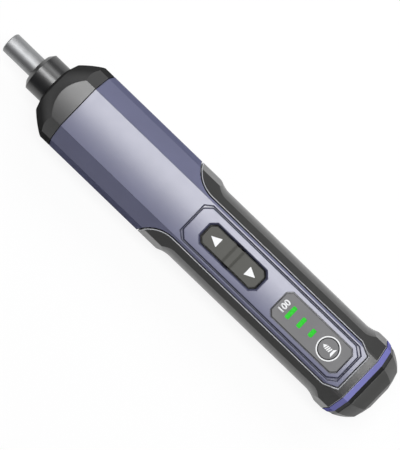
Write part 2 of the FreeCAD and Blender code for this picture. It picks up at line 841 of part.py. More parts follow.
def make_nose_cap():
    piece = Piece("nose_cap")
    pad_outline(piece, piece.across("nose_front"), section(), "nose_length - nose_reveal")
    centre = dome_centre("nose_front + cone_run", "cone_top", "nose_dome_run", "nose_dome_rise",
                         "nose_dome_radius")
    piece.turn_cut([
        ("nose_front", "nose_rim"), ("nose_front + cone_run", "cone_top"),
        ("nose_front + cone_run + nose_dome_run", "cone_top + nose_dome_rise", *centre, -1),
        ("nose_front + cone_run + nose_dome_run", "far_side"), ("nose_front - overrun", "far_side"),
        ("nose_front - overrun", "nose_rim"),
    ])
    drawing = piece.across("nose_seam - nose_reveal")
    draw(drawing, section("flange_inset"))
    circles(drawing, "nose_bore")
    piece.pad(drawing, "nose_reveal + lip_length")
    neck_end = "nose_front + neck_length"
    piece.turn_cut([
        ("nose_front - overrun", "0"), ("nose_front - overrun", "neck_bore"), (neck_end, "neck_bore"),
        (f"{neck_end} + neck_slope", "nose_bore"), ("nose_seam + lip_length + overrun", "nose_bore"),
        ("nose_seam + lip_length + overrun", "0"),
    ])
    cut_circles(piece, piece.across("nose_seam + lip_length"), "head_radius + screw_clear",
                "lip_length + head_height", four("case_screw_side", "case_screw_rise"))


# Gears

def make_gear(label, teeth, pitch, gap_shares, start, length, bore=None, side="0", rise="0"):
    piece = Piece(label, side, rise)
    tip = f"{pitch} + gear_module * {TIP_SHARE}"
    root = f"{pitch} - gear_module * {ROOT_SHARE}"
    drawing = piece.across(start)
    circles(drawing, tip)
    if bore:
        circles(drawing, bore)
    piece.pad(drawing, length)
    low, high = (f"gear_module * {share}" for share in gap_shares)
    outside = f"{tip} + overrun"
    gap = [(minus(low), root), (low, root), (high, tip), (high, outside), (minus(high), outside),
           (minus(high), tip)]
    space = cut_outline(piece, piece.across(start), gap, length, reverse=True)
    piece.around(space, teeth)
    return piece


def lugs(piece, start, length):
    """Screw lugs on both sides of the ring gear and of the plate behind it."""
    for side in ("", "-"):
        foot = [(f"{side}lug_root", "lug_radius"), (f"{side}lug_reach", "lug_radius"),
                (f"{side}lug_reach", "-lug_radius"), (f"{side}lug_root", "-lug_radius")]
        pad_outline(piece, piece.across(start), foot, length)
    pad_circles(piece, piece.across(start), "lug_radius", length, pair("lug_reach"))
    cut_circles(piece, piece.across(start), "screw_radius + screw_clear", length, pair("lug_reach"),
                reverse=True)


def make_ring_gear():
    piece = Piece("ring_gear")
    length = "ring_rear - case_end"
    tip = f"ring_pitch - gear_module * {TIP_SHARE}"
    root = f"ring_pitch + gear_module * {ROOT_SHARE}"
    drawing = piece.across("case_end")
    circles(drawing, "ring_outer")
    circles(drawing, tip)
    piece.pad(drawing, length)
    low, high = (f"gear_module * {share}" for share in RING_GAP_SHARES)
    inside = f"{tip} - overrun"
    gap = [(inside, minus(high)), (tip, minus(high)), (root, minus(low)), (root, low), (tip, high),
           (inside, high)]
    space = cut_outline(piece, piece.across("case_end"), gap, length, reverse=True)
    piece.around(space, RING_TEETH)
    lugs(piece, "case_end", length)


PLANET_SPOTS = [("0", "orbit"), ("-orbit * sqrt(3) / 2", "-orbit / 2"),
                ("orbit * sqrt(3) / 2", "-orbit / 2")]


def make_stage(stage, front, rear, pins_start):
    for number, (side, rise) in enumerate(PLANET_SPOTS, 1):
        make_gear(f"{stage}_planet_{number}", PLANET_TEETH, "planet_pitch", PLANET_GAP_SHARES, front,
                  "planet_width", "pin_radius + run_gap", side, rise)
    rods(f"{stage}_pins", PLANET_SPOTS, [(pins_start, f"{rear} + end_play", "pin_radius")])


def make_carriers():
    output = tube("stage2_carrier", "hub_front", "output_front", "hub_radius")
    pad_circles(output, output.across("output_front"), "carrier_radius", "carrier_thick")
    seat = four("tang_flats / 2 + run_gap", "tang_flats / 2 + run_gap")
    cut_outline(output, output.across("output_rear"), seat)
    cut_circles(output, output.across("output_rear"), "pin_radius", "carrier_thick", PLANET_SPOTS)
    middle = tube("stage1_carrier", "middle_front", "middle_rear", "carrier_radius", "stub_radius")
    cut_circles(middle, middle.across("middle_rear"), "pin_radius", "carrier_thick", PLANET_SPOTS)


def make_suns():
    make_gear("motor_pinion", SUN_TEETH, "sun_pitch", SUN_GAP_SHARES, "stage1_front",
              "planet_width + end_play", "shaft_radius")
    sun = make_gear("stage2_sun", SUN_TEETH, "sun_pitch", SUN_GAP_SHARES, "stage2_front",
                    "middle_front - stage2_front")
    pad_circles(sun, sun.across("middle_front"), "stub_radius", "carrier_thick")


# Motor

def make_motor_plate():
    piece = tube("motor_plate", "ring_rear", "motor_front", "ring_outer", "can_boss_radius + seat_gap")
    lugs(piece, "ring_rear", "plate_thick")
    spots = [("0", "motor_screw_rise"), ("0", "-motor_screw_rise")]
    cut_circles(piece, piece.across("ring_rear"), "motor_head_radius + fit_gap", "motor_head_height", spots,
                reverse=True)
    cut_circles(piece, piece.across("ring_rear"), "screw_radius + screw_clear", "plate_thick", spots,
                reverse=True)


def make_motor_shell():
    can = Piece("motor_can")
    boss_front = "motor_front - can_boss_length"
    can.turn([
        (boss_front, "motor_bush_radius"), (boss_front, "can_boss_radius"),
        ("motor_front", "can_boss_radius"), ("motor_front", "can_radius"), ("can_rear", "can_radius"),
        ("can_rear", "can_inner"), ("motor_front + can_face", "can_inner"),
        ("motor_front + can_face", "motor_bush_radius"),
    ])
    cut_circles(can, can.across("motor_front"), "screw_radius", "can_face",
                [("0", "motor_screw_rise"), ("0", "-motor_screw_rise")], reverse=True)
    bell = Piece("motor_end_bell")
    bell.turn([
        ("bell_front", "motor_bush_radius"), ("bell_front", "can_inner"), ("can_rear", "can_inner"),
        ("can_rear", "can_radius"), ("bell_rear", "can_radius"), ("bell_rear", "bell_boss_radius"),
        ("bell_end", "bell_boss_radius"), ("bell_end", "0"), ("bell_bore_end", "0"),
        ("bell_bore_end", "motor_bush_radius"),
    ])
    bushes = Piece("motor_bushes")
    for start in (boss_front, "bell_bore_end - motor_bush_length"):
        drawing = bushes.across(start)
        circles(drawing, "motor_bush_radius")
        circles(drawing, "shaft_radius + run_gap")
        bushes.pad(drawing, "motor_bush_length")
    magnets = tube("motor_magnets", "armature_start - overrun", "commutator_start - commutator_gap",
                   "can_inner", "can_inner - magnet_thick")
    cut_outline(magnets, magnets.across("armature_start"),
                [("-can_radius", "-magnet_split"), ("can_radius", "-magnet_split"),
                 ("can_radius", "magnet_split"), ("-can_radius", "magnet_split")])


def make_rotor():
    tube("motor_shaft", "stage1_front", "bell_bore_end - end_play", "shaft_radius")
    armature = tube("armature", "armature_start", "armature_start + armature_length", "armature_radius",
                    "shaft_radius")
    slot = [("-slot_half", "slot_root"), ("slot_half", "slot_root"),
            ("slot_half", "armature_radius + overrun"), ("-slot_half", "armature_radius + overrun")]
    groove = cut_outline(armature, armature.across("armature_start"), slot, "armature_length", reverse=True)
    armature.around(groove, ARMATURE_POLES)
    coils = Piece("armature_coils")
    bundle = [("-slot_half", "slot_root"), ("slot_half", "slot_root"),
              ("slot_half", "armature_radius - coil_rim"),
              ("-slot_half", "armature_radius - coil_rim")]
    first = pad_outline(coils, coils.across("armature_start - coil_overhang"), bundle,
                        "armature_length + 2 * coil_overhang")
    coils.around(first, ARMATURE_POLES)
    tube("commutator", "commutator_start", "commutator_start + commutator_length", "commutator_radius",
         "shaft_radius")


def make_brushes():
    piece = Piece("motor_brushes")
    tip = "commutator_radius + run_gap"
    arm = f"{tip} + brush_length"
    for sign in ("", "-"):
        outline = [("brush_start", f"{sign}({tip})"), ("brush_start + brush_width", f"{sign}({tip})"),
                   ("brush_start + brush_width", f"{sign}({arm})"), ("bell_front", f"{sign}({arm})"),
                   ("bell_front", f"{sign}({arm} + brush_arm)"),
                   ("brush_start", f"{sign}({arm} + brush_arm)")]
        pad_outline(piece, piece.plan(), outline, "2 * brush_half", both=True)
    tabs = Piece("motor_terminals")
    for sign in ("", "-"):
        outline = [(f"{sign}terminal_side - terminal_half", "-terminal_thick"),
                   (f"{sign}terminal_side + terminal_half", "-terminal_thick"),
                   (f"{sign}terminal_side + terminal_half", "terminal_thick"),
                   (f"{sign}terminal_side - terminal_half", "terminal_thick")]
        pad_outline(tabs, tabs.across("bell_rear"), outline, "terminal_length")


# Front housing with its tongue

def make_front_housing():
    piece = Piece("front_housing")
    drawing = piece.across("nose_seam")
    draw(drawing, section())
    draw(drawing, section("wall"))
    piece.pad(drawing, "tongue_end - nose_seam")
    back = [("barrel_end", "-half_depth - overrun"), ("tongue_end + overrun", "-half_depth - overrun"),
            ("tongue_end + overrun", "0"), ("barrel_end", "0")]
    cut_outline(piece, piece.profile(), back)
    sides = piece.plan()
    for sign in ("", "-"):
        draw(sides, [("seam_tangent", f"{sign}tongue_half"), ("tongue_tip", f"{sign}tongue_half"),
                     ("tongue_end", f"{sign}tongue_tip_half"),
                     ("tongue_end + overrun", f"{sign}tongue_tip_half"),
                     ("tongue_end + overrun", f"{sign}far_side"), ("seam_tangent", f"{sign}far_side")])
    piece.cut(sides)
    cut_circles(piece, piece.plan(), "seam_radius", None, pair_along("seam_tangent", "seam_centre"))
    finish_panel(piece)
    fit_front_housing(piece)


def pair_along(along, across):
    return [(along, across), (along, minus(across))]


def finish_panel(piece):
    """The groove round the panel, the rocker's window and the seats of status panel and mode button."""
    rim = cut_corner_outline("groove_low", "groove_high", "groove_half", "groove_cut_run", "groove_cut_rise")
    cut_outline(piece, piece.plan("half_depth"), rim, "groove_depth", lean=-GROOVE_LEAN)
    island = cut_corner_outline("groove_low + groove_width", "groove_high - groove_width",
                                "groove_half - groove_width", "groove_cut_run - groove_width / 4",
                                "groove_cut_rise - groove_width / 4")
    pad_outline(piece, piece.plan("half_depth"), island, "groove_depth", reverse=True, lean=GROOVE_LEAN)
    window = cut_corner_outline("rocker_centre - window_half_length", "rocker_centre + window_half_length",
                                "window_half_width", "window_cut", "window_cut")
    cut_outline(piece, piece.plan("half_depth"), window, "wall + overrun")
    top, centre = amount("half_depth"), amount("rocker_centre")
    reach = amount("window_half_length + fit_gap"), amount("window_half_width + fit_gap")
    piece.bevel("window_bevel", lambda edge: all(
        abs(corner.Z - top) < amount("run_gap") and abs(corner.X - centre) < reach[0]
        and abs(corner.Y) < reach[1]
        for corner in edge.Vertexes))
    seat = cut_corner_outline("panel_front - panel_gap", "panel_rear + panel_gap", "panel_half + panel_gap",
                              "panel_cut", "panel_cut")
    cut_outline(piece, piece.plan("half_depth"), seat, "panel_thick")
    cut_circles(piece, piece.plan("half_depth"), "mode_hole + fit_gap", "wall + overrun",
                [("mode_centre", "0")])
    slots = piece.plan("half_depth")
    for outline in bars("fit_gap"):
        draw(slots, outline)
    piece.cut(slots, "wall + overrun")


def bars(gap):
    """Outlines of the three light bars, each shorter than the one before it."""
    outlines = []
    for number, share in enumerate(BAR_SHARES):
        centre = f"panel_front + {share} * bar_run"
        half = f"bar_half_long - {number} * bar_half_step + {gap}"
        outlines.append(soft_outline(f"{centre} - bar_half_width - {gap}",
                                     f"{centre} + bar_half_width + {gap}", half, f"bar_round + {gap}"))
    return outlines


def fit_front_housing(piece):
    """Screw bosses, the spigot that the grip slides over, and the ears of the rocker's pin."""
    spots = four("case_screw_side", "case_screw_rise")
    pad_circles(piece, piece.across("case_end"), "boss_radius", "boss_length", spots)
    cut_circles(piece, piece.across("case_end"), "screw_radius", "case_screw_length", spots, reverse=True)
    for outline, start, length in ((section("wall / 2"), "barrel_end - spigot_root", "spigot_root"),
                                   (cavity("fit_gap"), "barrel_end", "spigot_length")):
        drawing = piece.across(start)
        draw(drawing, outline)
        circles(drawing, "spigot_bore")
        piece.pad(drawing, length)
    for sign in ("", "-"):
        low, high = "rocker_centre - ear_half", "rocker_centre + ear_half"
        ear = [(low, f"{sign}ear_inner"), (high, f"{sign}ear_inner"),
               (high, f"{sign}ear_outer"), (low, f"{sign}ear_outer")]
        pad_outline(piece, piece.plan("pivot_height - ear_half"), ear,
                    "tongue_under - pivot_height + ear_half")
    cut_circles(piece, piece.profile(), "pivot_pin_radius", "2 * ear_outer + overrun",
                [("rocker_centre", "pivot_height")], both=True)


# Grip housing

def make_grip_housing():
    piece = Piece("grip_housing")
    drawing = piece.across("grip_front")
    draw(drawing, section())
    draw(drawing, cavity())
    piece.pad(drawing, "grip_end - grip_front")
    half_slot = [("slot_arc", "seam_side"),
                 ("seam_tangent", "slot_half_width", "seam_tangent", "seam_centre", 1),
                 ("tongue_tip", "slot_half_width"), ("slot_end", "slot_tip_half")]
    slot = [("barrel_end", "seam_side"), *half_slot, ("slot_end", "-slot_tip_half"),
            ("tongue_tip", "-slot_half_width"), ("seam_tangent", "-slot_half_width"),
            ("slot_arc", "-seam_side", "seam_tangent", "-seam_centre", 1), ("barrel_end", "-seam_side")]
    cut_outline(piece, piece.plan(), slot, "half_depth + overrun", reverse=True)
    piece.bevel("seam_bevel", slot_rim(piece.body.Tip.Shape))
    scoop = cut_scoop(piece)
    piece.mirror(scoop)


def slot_rim(shape):
    """A test for the edges along which the slot's upright walls meet the grip's outer faces."""
    def chosen(edge):
        spot = edge.valueAt((edge.FirstParameter + edge.LastParameter) / 2)
        rises = [face.normalAt(*face.Surface.parameter(spot)).z
                 for face in shape.ancestorsOfType(edge, Part.Face)]
        upright = min(abs(rise) for rise in rises) < UPRIGHT_SHARE
        return spot.z > amount("run_gap") and upright and max(rises) > UPRIGHT_SHARE
    return chosen


def cut_scoop(piece):
    """The hollow in the grip's side: a round section swept in from the rim, along the waist and out."""
    edge = "half_width + scoop_drop + 3 * overrun"
    profile = piece.across("scoop_start")
    draw(profile, [("scoop_tip", "half_width", "scoop_rim - scoop_round", "0", 1),
                   (edge, "half_width"), (edge, "-half_width"), ("scoop_tip", "-half_width")])
    path = piece.plan()
    lip, heel = "scoop_rim - scoop_lip_radius", "waist_half + scoop_heel_radius"
    rise = "scoop_rim - scoop_bend_drop"
    draw(path, [
        ("scoop_start", "scoop_rim"),
        ("scoop_start + scoop_bend", rise, "scoop_start", lip, -1),
        ("scoop_start + scoop_run", "waist_half", "scoop_start + scoop_run", heel, 1),
        ("scoop_stop - scoop_run", "waist_half"),
        ("scoop_stop - scoop_bend", rise, "scoop_stop - scoop_run", heel, 1),
        ("scoop_stop", "scoop_rim", "scoop_stop", lip, -1),
    ], closed=False)
    return piece.checked_cut(lambda: piece.sweep("SubtractivePipe", profile, path))


# Tail

def drawn_in(share, inset="0"):
    """The body's faceted section with its size taken down to a share."""
    return [(f"({across}) * {share}", f"({up}) * {share}") for across, up in section(inset)]


def tail_section(run, inset="0"):
    """The faceted section some way past the grip: one bow runs over trim ring, gasket and end cap."""
    reach = f"tail_aside + sqrt(tail_dome_radius ^ 2 - ({run} - tail_along) ^ 2)"
    return drawn_in(f"({reach}) / tail_start", inset)


def make_tail_rings():
    for label, start, length, inset in (("trim_ring", "0", "ring_width", "0"),
                                        ("cap_gasket", "ring_width", "gasket_width", "gasket_inset")):
        piece = Piece(label)
        runs = (start, f"{start} + {length}")
        piece.loft([(f"grip_end + {run}", tail_section(run, inset)) for run in runs])
        cut_outline(piece, piece.across(f"grip_end + {start}"), cavity(), length, reverse=True)


def stadium(half_width, half_depth):
    """A slot outline with round ends."""
    straight = f"{half_width} - ({half_depth})"
    return [(minus(straight), half_depth, minus(straight), "0", -1), (straight, half_depth),
            (straight, minus(half_depth), straight, "0", -1), (minus(straight), minus(half_depth))]


def make_end_cap():
    piece = Piece("end_cap")
    runs = ("cap_run", "cap_third", "cap_two_thirds", "tail_dome_run")
    piece.loft([(f"grip_end + {run}", tail_section(run)) for run in runs])
    piece.loft([("grip_end + tail_dome_run", tail_section("tail_dome_run")),
                ("overall_length", drawn_in("cap_face / tail_start"))])
    pad_outline(piece, piece.across("frame_rear"), cavity("fit_gap"), "gasket_end - frame_rear")
    cut_circles(piece, piece.across("cap_inside"), "cap_bore", "cap_inside - frame_rear")
    pad_circles(piece, piece.across("charge_rear"), "post_radius", "cap_inside - charge_rear",
                pair("post_side"))
    cut_circles(piece, piece.across("charge_rear"), "screw_radius", "post_screw_length", pair("post_side"),
                reverse=True)
    mouth = stadium("socket_half_width + socket_gap", "socket_half_depth + socket_gap")
    cut_outline(piece, piece.across("cap_inside"), mouth, "cap_wall", reverse=True)


def make_charge_port():
    board = Piece("charge_board")
    outline = four("charge_half_width", "charge_half_depth")
    pad_outline(board, board.across("charge_front"), outline, "charge_thick")
    cut_circles(board, board.across("charge_rear"), "screw_radius + screw_clear", "charge_thick",
                pair("post_side"))
    shell = Piece("usb_socket")
    pad_outline(shell, shell.across("charge_rear"), stadium("socket_half_width", "socket_half_depth"),
                "socket_length")
    inside = stadium("socket_half_width - socket_wall", "socket_half_depth - socket_wall")
    cut_outline(shell, shell.across("socket_mouth"), inside, "socket_length - socket_back")
    blade = Piece("usb_blade")
    pad_outline(blade, blade.across("charge_rear + socket_back"),
                four("tongue_blade_half", "tongue_blade_thick / 2"), "tongue_blade_length")
    rods("board_screws", pair("post_side"),
         [("charge_front - head_height", "charge_front", "head_radius"),
          ("charge_front", "charge_rear + post_screw_length", "screw_radius")])


# Controls

def make_rocker():
    piece = Piece("rocker_button")
    low, high = "rocker_centre - rocker_half_length", "rocker_centre + rocker_half_length"
    top = cut_corner_outline(low, high, "rocker_half_width", "rocker_cut", "rocker_cut")
    pad_outline(piece, piece.plan("rocker_under"), top, "rocker_thick")
    ridge = [("rocker_centre - ridge_half_foot", "rocker_top"),
             ("rocker_centre + ridge_half_foot", "rocker_top"),
             ("rocker_centre + ridge_half_top", "rocker_top + ridge_height"),
             ("rocker_centre - ridge_half_top", "rocker_top + ridge_height")]
    pad_outline(piece, piece.profile(), ridge, "2 * rocker_half_width", both=True)
    fore, aft = "rocker_centre - pivot_hub_radius", "rocker_centre + pivot_hub_radius"
    neck = [(fore, "pivot_height"), (aft, "pivot_height"), (aft, "rocker_under"), (fore, "rocker_under")]
    pad_outline(piece, piece.profile(), neck, "2 * rocker_half_width", both=True)
    pad_circles(piece, piece.profile(), "pivot_hub_radius", "2 * pivot_hub_half",
                [("rocker_centre", "pivot_height")], both=True)
    for sign in ("-", "+"):
        foot = f"rocker_centre {sign} leg_place"
        pad_outline(piece, piece.plan("rocker_under - leg_length"),
                    box_outline(f"{foot} - leg_half", f"{foot} + leg_half", "2 * leg_half"), "leg_length")
    cut_circles(piece, piece.profile(), "pivot_pin_radius + run_gap", "2 * pivot_hub_half + overrun",
                [("rocker_centre", "pivot_height")], both=True)
    pin = Piece("rocker_pin")
    pad_circles(pin, pin.profile(), "pivot_pin_radius", "2 * ear_outer", [("rocker_centre", "pivot_height")],
                both=True)


def make_mode_button():
    piece = Piece("mode_button")
    centre = [("mode_centre", "0")]
    flange_top = "tongue_under - seat_gap"
    flange_under = f"{flange_top} - mode_flange_thick"
    pad_circles(piece, piece.plan("plunger_top"), "mode_stem_radius", f"{flange_under} - plunger_top",
                centre)
    pad_circles(piece, piece.plan(flange_under), "mode_flange_radius", "mode_flange_thick", centre)
    pad_circles(piece, piece.plan(flange_top), "mode_radius", f"half_depth + mode_proud - ({flange_top})",
                centre)
    plunger = Piece("mode_plunger")
    low = "switch_top - plunger_sink"
    pad_circles(plunger, plunger.plan(low), "plunger_radius", f"plunger_top - ({low})", centre)


def make_status_panel():
    piece = Piece("status_panel")
    outline = cut_corner_outline("panel_front", "panel_rear", "panel_half", "panel_cut", "panel_cut")
    pad_outline(piece, piece.plan("panel_under"), outline, "panel_thick")
    cut_circles(piece, piece.plan("half_depth"), "mode_hole", "panel_thick", [("mode_centre", "0")])
    slots = piece.plan("half_depth")
    for outline in bars("run_gap"):
        draw(slots, outline)
    piece.cut(slots, "panel_thick")
    guide = Piece("light_guide")
    web = box_outline(f"panel_front + {BAR_SHARES[0]} * bar_run - bar_half_width - guide_margin",
                      f"panel_front + {BAR_SHARES[-1]} * bar_run + bar_half_width + guide_margin",
                      "bar_half_long + guide_margin / 2")
    pad_outline(guide, guide.plan("tongue_under - guide_web"), web, "guide_web")
    low = "board_top + guide_lift"
    stack = guide.plan(low)
    for outline in bars("0"):
        draw(stack, outline)
    guide.pad(stack, f"half_depth - ({low})")


# Boards

def make_control_board():
    board = Piece("control_board")
    pad_outline(board, board.plan("board_under"), box_outline("board_front", "board_rear", "board_half"),
                "board_thick")
    lamps = Piece("status_lamps")
    spots = lamps.plan("board_top")
    for share in BAR_SHARES:
        centre = f"panel_front + {share} * bar_run"
        draw(spots, box_outline(f"{centre} - lamp_half", f"{centre} + lamp_half", "2 * lamp_half"))
    lamps.pad(spots, "lamp_height")
    chips = Piece("board_chips")
    spots = chips.plan("board_top")
    for centre, side in (("board_front + driver_place", "chip_side"),
                         ("board_front + driver_place", "-chip_side"),
                         ("panel_front - controller_place", "chip_side")):
        draw(spots, [(f"{centre} - chip_half", f"{side} - chip_half"),
                     (f"{centre} + chip_half", f"{side} - chip_half"),
                     (f"{centre} + chip_half", f"{side} + chip_half"),
                     (f"{centre} - chip_half", f"{side} + chip_half")])
    chips.pad(spots, "chip_height")


def make_switches():
    places = {"forward_switch": "rocker_centre - leg_place", "reverse_switch": "rocker_centre + leg_place",
              "mode_switch": "mode_centre"}
    for label, centre in places.items():
        piece = Piece(label)
        base = box_outline(f"{centre} - switch_half", f"{centre} + switch_half", "switch_half")
        pad_outline(piece, piece.plan("board_top"), base, "switch_height")
        if label == "mode_switch":
            cut_circles(piece, piece.plan("switch_top"), "plunger_radius + fit_gap", "plunger_well",
                        [(centre, "0")])
        else:
            pad_circles(piece, piece.plan("switch_top"), "plunger_radius", "plunger_rise", [(centre, "0")])


# Cell, core frame and leads

def make_cell():
    cell = Piece("battery_cell", rise="cell_axis")
    nub = "cell_front + cell_nub_height"
    cell.turn([
        ("cell_front", "0"), ("cell_front", "cell_nub_radius"), (nub, "cell_nub_radius"),
        (nub, "cell_radius - cell_edge"), (f"{nub} + cell_edge", "cell_radius", f"{nub} + cell_edge",
                                           "cell_radius - cell_edge", -1),
        ("cell_rear - cell_edge", "cell_radius"),
        ("cell_rear", "cell_radius - cell_edge", "cell_rear - cell_edge", "cell_radius - cell_edge", -1),
        ("cell_rear", "0"),
    ])
    tabs = Piece("battery_tabs")
    strip = [("-tab_half", "cell_axis - tab_drop"), ("tab_half", "cell_axis - tab_drop"),
             ("tab_half", "board_under"), ("-tab_half", "board_under")]
    for start in ("tray_front", "cell_rear"):
        pad_outline(tabs, tabs.across(start), strip, "tab_thick")


def make_core_frame():
    piece = Piece("core_frame")
    knee = "frame_foot_rise - cavity_depth"
    outline = [("frame_half", "board_under"), ("frame_half", knee), ("frame_foot_half", "-cavity_depth"),
               ("-frame_foot_half", "-cavity_depth"), ("-frame_half", knee), ("-frame_half", "board_under")]
    pad_outline(piece, piece.across("frame_front"), outline, "frame_rear - frame_front")
    cut_circles(piece, piece.across("tray_front"), "cell_radius + cell_fit", "tray_rear - tray_front",
                [("0", "cell_axis")], reverse=True)
    slot = [("-rail_inner", "cell_axis"), ("rail_inner", "cell_axis"),
            ("rail_inner", "board_under + overrun"),
            ("-rail_inner", "board_under + overrun")]
    cut_outline(piece, piece.across("tray_front"), slot, "tray_rear - tray_front", reverse=True)
    bay = [("-bay_half", "knee_floor"), ("bay_half", "knee_floor"), ("bay_half", "board_under + overrun"),
           ("-bay_half", "board_under + overrun")]
    bay = [(across, up.replace("knee_floor", f"{knee} + bay_floor")) for across, up in bay]
    cut_outline(piece, piece.across("bay_front"), bay, "frame_rear - bay_front + overrun", reverse=True)


def make_leads():
    for label, start, side, rise, bend_at, way in (
            ("motor_leads", "terminal_end", "terminal_side", "0", "frame_front - lead_radius - seat_gap", 1),
            ("charge_leads", "charge_front", "charge_lead_side", "charge_lead_rise", "charge_lead_end", -1)):
        piece = Piece(label)
        ring = piece.across(start)
        circles(ring, "lead_radius", [(minus(side), rise)])
        path = piece.profile(side)
        sign = "-" if way > 0 else "+"
        corner = f"{bend_at} {sign} lead_bend"
        draw(path, [(start, rise), (corner, rise),
                    (bend_at, f"{rise} + lead_bend", corner, f"{rise} + lead_bend", way),
                    (bend_at, "board_under")], closed=False)
        piece.mirror(piece.sweep("AdditivePipe", ring, path))


def make_screws():
    rods("case_screws", four("case_screw_side", "case_screw_rise"),
         [("flange_front - head_height", "flange_front", "head_radius"),
          ("flange_front", "flange_front + case_screw_length", "screw_radius")])
    rods("gearbox_screws", pair("lug_reach"),
         [("flange_front", "motor_front", "screw_radius"),
          ("motor_front", "motor_front + head_height", "head_radius")])
    rods("motor_screws", [("0", "motor_screw_rise"), ("0", "-motor_screw_rise")],
         [("ring_rear", "ring_rear + motor_head_height", "motor_head_radius"),
          ("ring_rear + motor_head_height", "ring_rear + motor_screw_length", "screw_radius")])


make_spindle()
make_spindle_fittings()
make_snout_collar()
make_gear_case()
make_nose_cap()
make_ring_gear()
make_suns()
make_carriers()
make_stage("stage2", "stage2_front", "stage2_rear", "output_front")
make_stage("stage1", "stage1_front", "stage1_rear", "middle_front")
make_motor_plate()
make_motor_shell()
make_rotor()
make_brushes()
make_front_housing()
make_grip_housing()
make_tail_rings()
make_end_cap()
make_charge_port()
make_rocker()
make_mode_button()
make_status_panel()
make_control_board()
make_switches()
make_cell()
make_core_frame()
make_leads()
make_screws()

doc.recompute()
for item in doc.Objects:
    if "Invalid" in item.State or "Error" in item.State:
        raise RuntimeError(f"{item.Name} failed: {item.State}")
for body in pieces:
    if body.Shape.isNull() or not body.Shape.isValid() or not body.Shape.Solids:
        raise RuntimeError(f"{body.Label} has no sound shape")

os.makedirs("parts", exist_ok=True)
for body in pieces:
    body.Shape.exportStep(f"parts/{body.Label}.step")
print(len(pieces), "pieces")
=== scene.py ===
"""Looks of a straight cordless screwdriver that lies on its back with the controls up."""

import json
import math

import bmesh
import bpy
from mathutils import Matrix, Vector
from mathutils.geometry import convex_hull_2d

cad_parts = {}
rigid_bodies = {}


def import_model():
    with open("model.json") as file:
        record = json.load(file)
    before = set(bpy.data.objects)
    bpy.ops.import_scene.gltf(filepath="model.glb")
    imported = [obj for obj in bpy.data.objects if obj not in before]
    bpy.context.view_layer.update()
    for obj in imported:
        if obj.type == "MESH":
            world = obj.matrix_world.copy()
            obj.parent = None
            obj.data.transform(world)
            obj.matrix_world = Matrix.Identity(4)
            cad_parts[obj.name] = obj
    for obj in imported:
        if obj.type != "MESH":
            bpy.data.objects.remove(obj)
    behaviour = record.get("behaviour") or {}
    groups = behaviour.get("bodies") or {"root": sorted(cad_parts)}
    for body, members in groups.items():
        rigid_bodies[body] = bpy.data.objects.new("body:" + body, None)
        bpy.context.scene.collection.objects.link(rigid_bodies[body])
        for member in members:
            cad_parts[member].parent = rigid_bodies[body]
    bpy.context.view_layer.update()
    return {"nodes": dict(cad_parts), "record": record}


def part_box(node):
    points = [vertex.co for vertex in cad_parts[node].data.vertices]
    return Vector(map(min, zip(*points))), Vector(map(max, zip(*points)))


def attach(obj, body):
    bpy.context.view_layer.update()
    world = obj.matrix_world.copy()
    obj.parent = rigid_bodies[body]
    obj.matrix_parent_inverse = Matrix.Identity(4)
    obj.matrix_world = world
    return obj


for leftover in list(bpy.data.objects):
    bpy.data.objects.remove(leftover)
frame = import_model()

MM = 0.001


# Colours

BLACK = (0, 0, 0, 1)
WHITE = (1, 1, 1, 1)


def srgb(red, green, blue):
    """A colour as a screen shows it, from 0 to 255, as the linear colour that a shader takes."""
    def linear(level):
        level /= 255
        return level / 12.92 if level <= 0.04045 else ((level + 0.055) / 1.055) ** 2.4
    return linear(red), linear(green), linear(blue), 1.0


def dimmed(colour, share):
    """A colour at a share of its light."""
    return [level * share for level in colour[:3]] + [1.0]


# Wear, painted shade in seams and on rims, and a painted highlight on the lips of seams, where a span runs
# from the start of an effect to its full strength

WORN_TURN_SPAN = (0.02, 0.22)
WORN_PATCH = 4 * MM
WORN_PATCH_SPAN = (0.35, 0.65)
WORN_LEAST = 0.35
HOLLOW_OPEN_SPAN = (0.68, 1.0)
LIP_DEEP_SPAN = (0.4, 0.55)
LIP_OPEN_SPAN = (0.8, 0.92)
RIM_SHADE_TURN_SPAN = (0.04, 0.14)


# Shader maths

BEVEL_SAMPLES = 6
OPEN_SAMPLES = 8


class Value:
    """An output of a material's nodes. Python's operators work on it where it is a number."""

    def __init__(self, finish, socket):
        self.finish = finish
        self.socket = socket

    def reckon(self, operation, first, second):
        """The result of a Math node."""
        return self.finish.add("Math", {"operation": operation}, {0: first, 1: second})

    def __add__(self, other):
        return self.reckon("ADD", self, other)

    __radd__ = __add__

    def __sub__(self, other):
        return self.reckon("SUBTRACT", self, other)

    def __rsub__(self, other):
        return self.reckon("SUBTRACT", other, self)

    def __mul__(self, other):
        return self.reckon("MULTIPLY", self, other)

    __rmul__ = __mul__

    def between(self, low, high):
        """0 at the low value, 1 at the high one, and smooth in between."""
        return self.finish.add("MapRange", {"interpolation_type": "SMOOTHSTEP"},
                               {"Value": self, "From Min": low, "From Max": high})


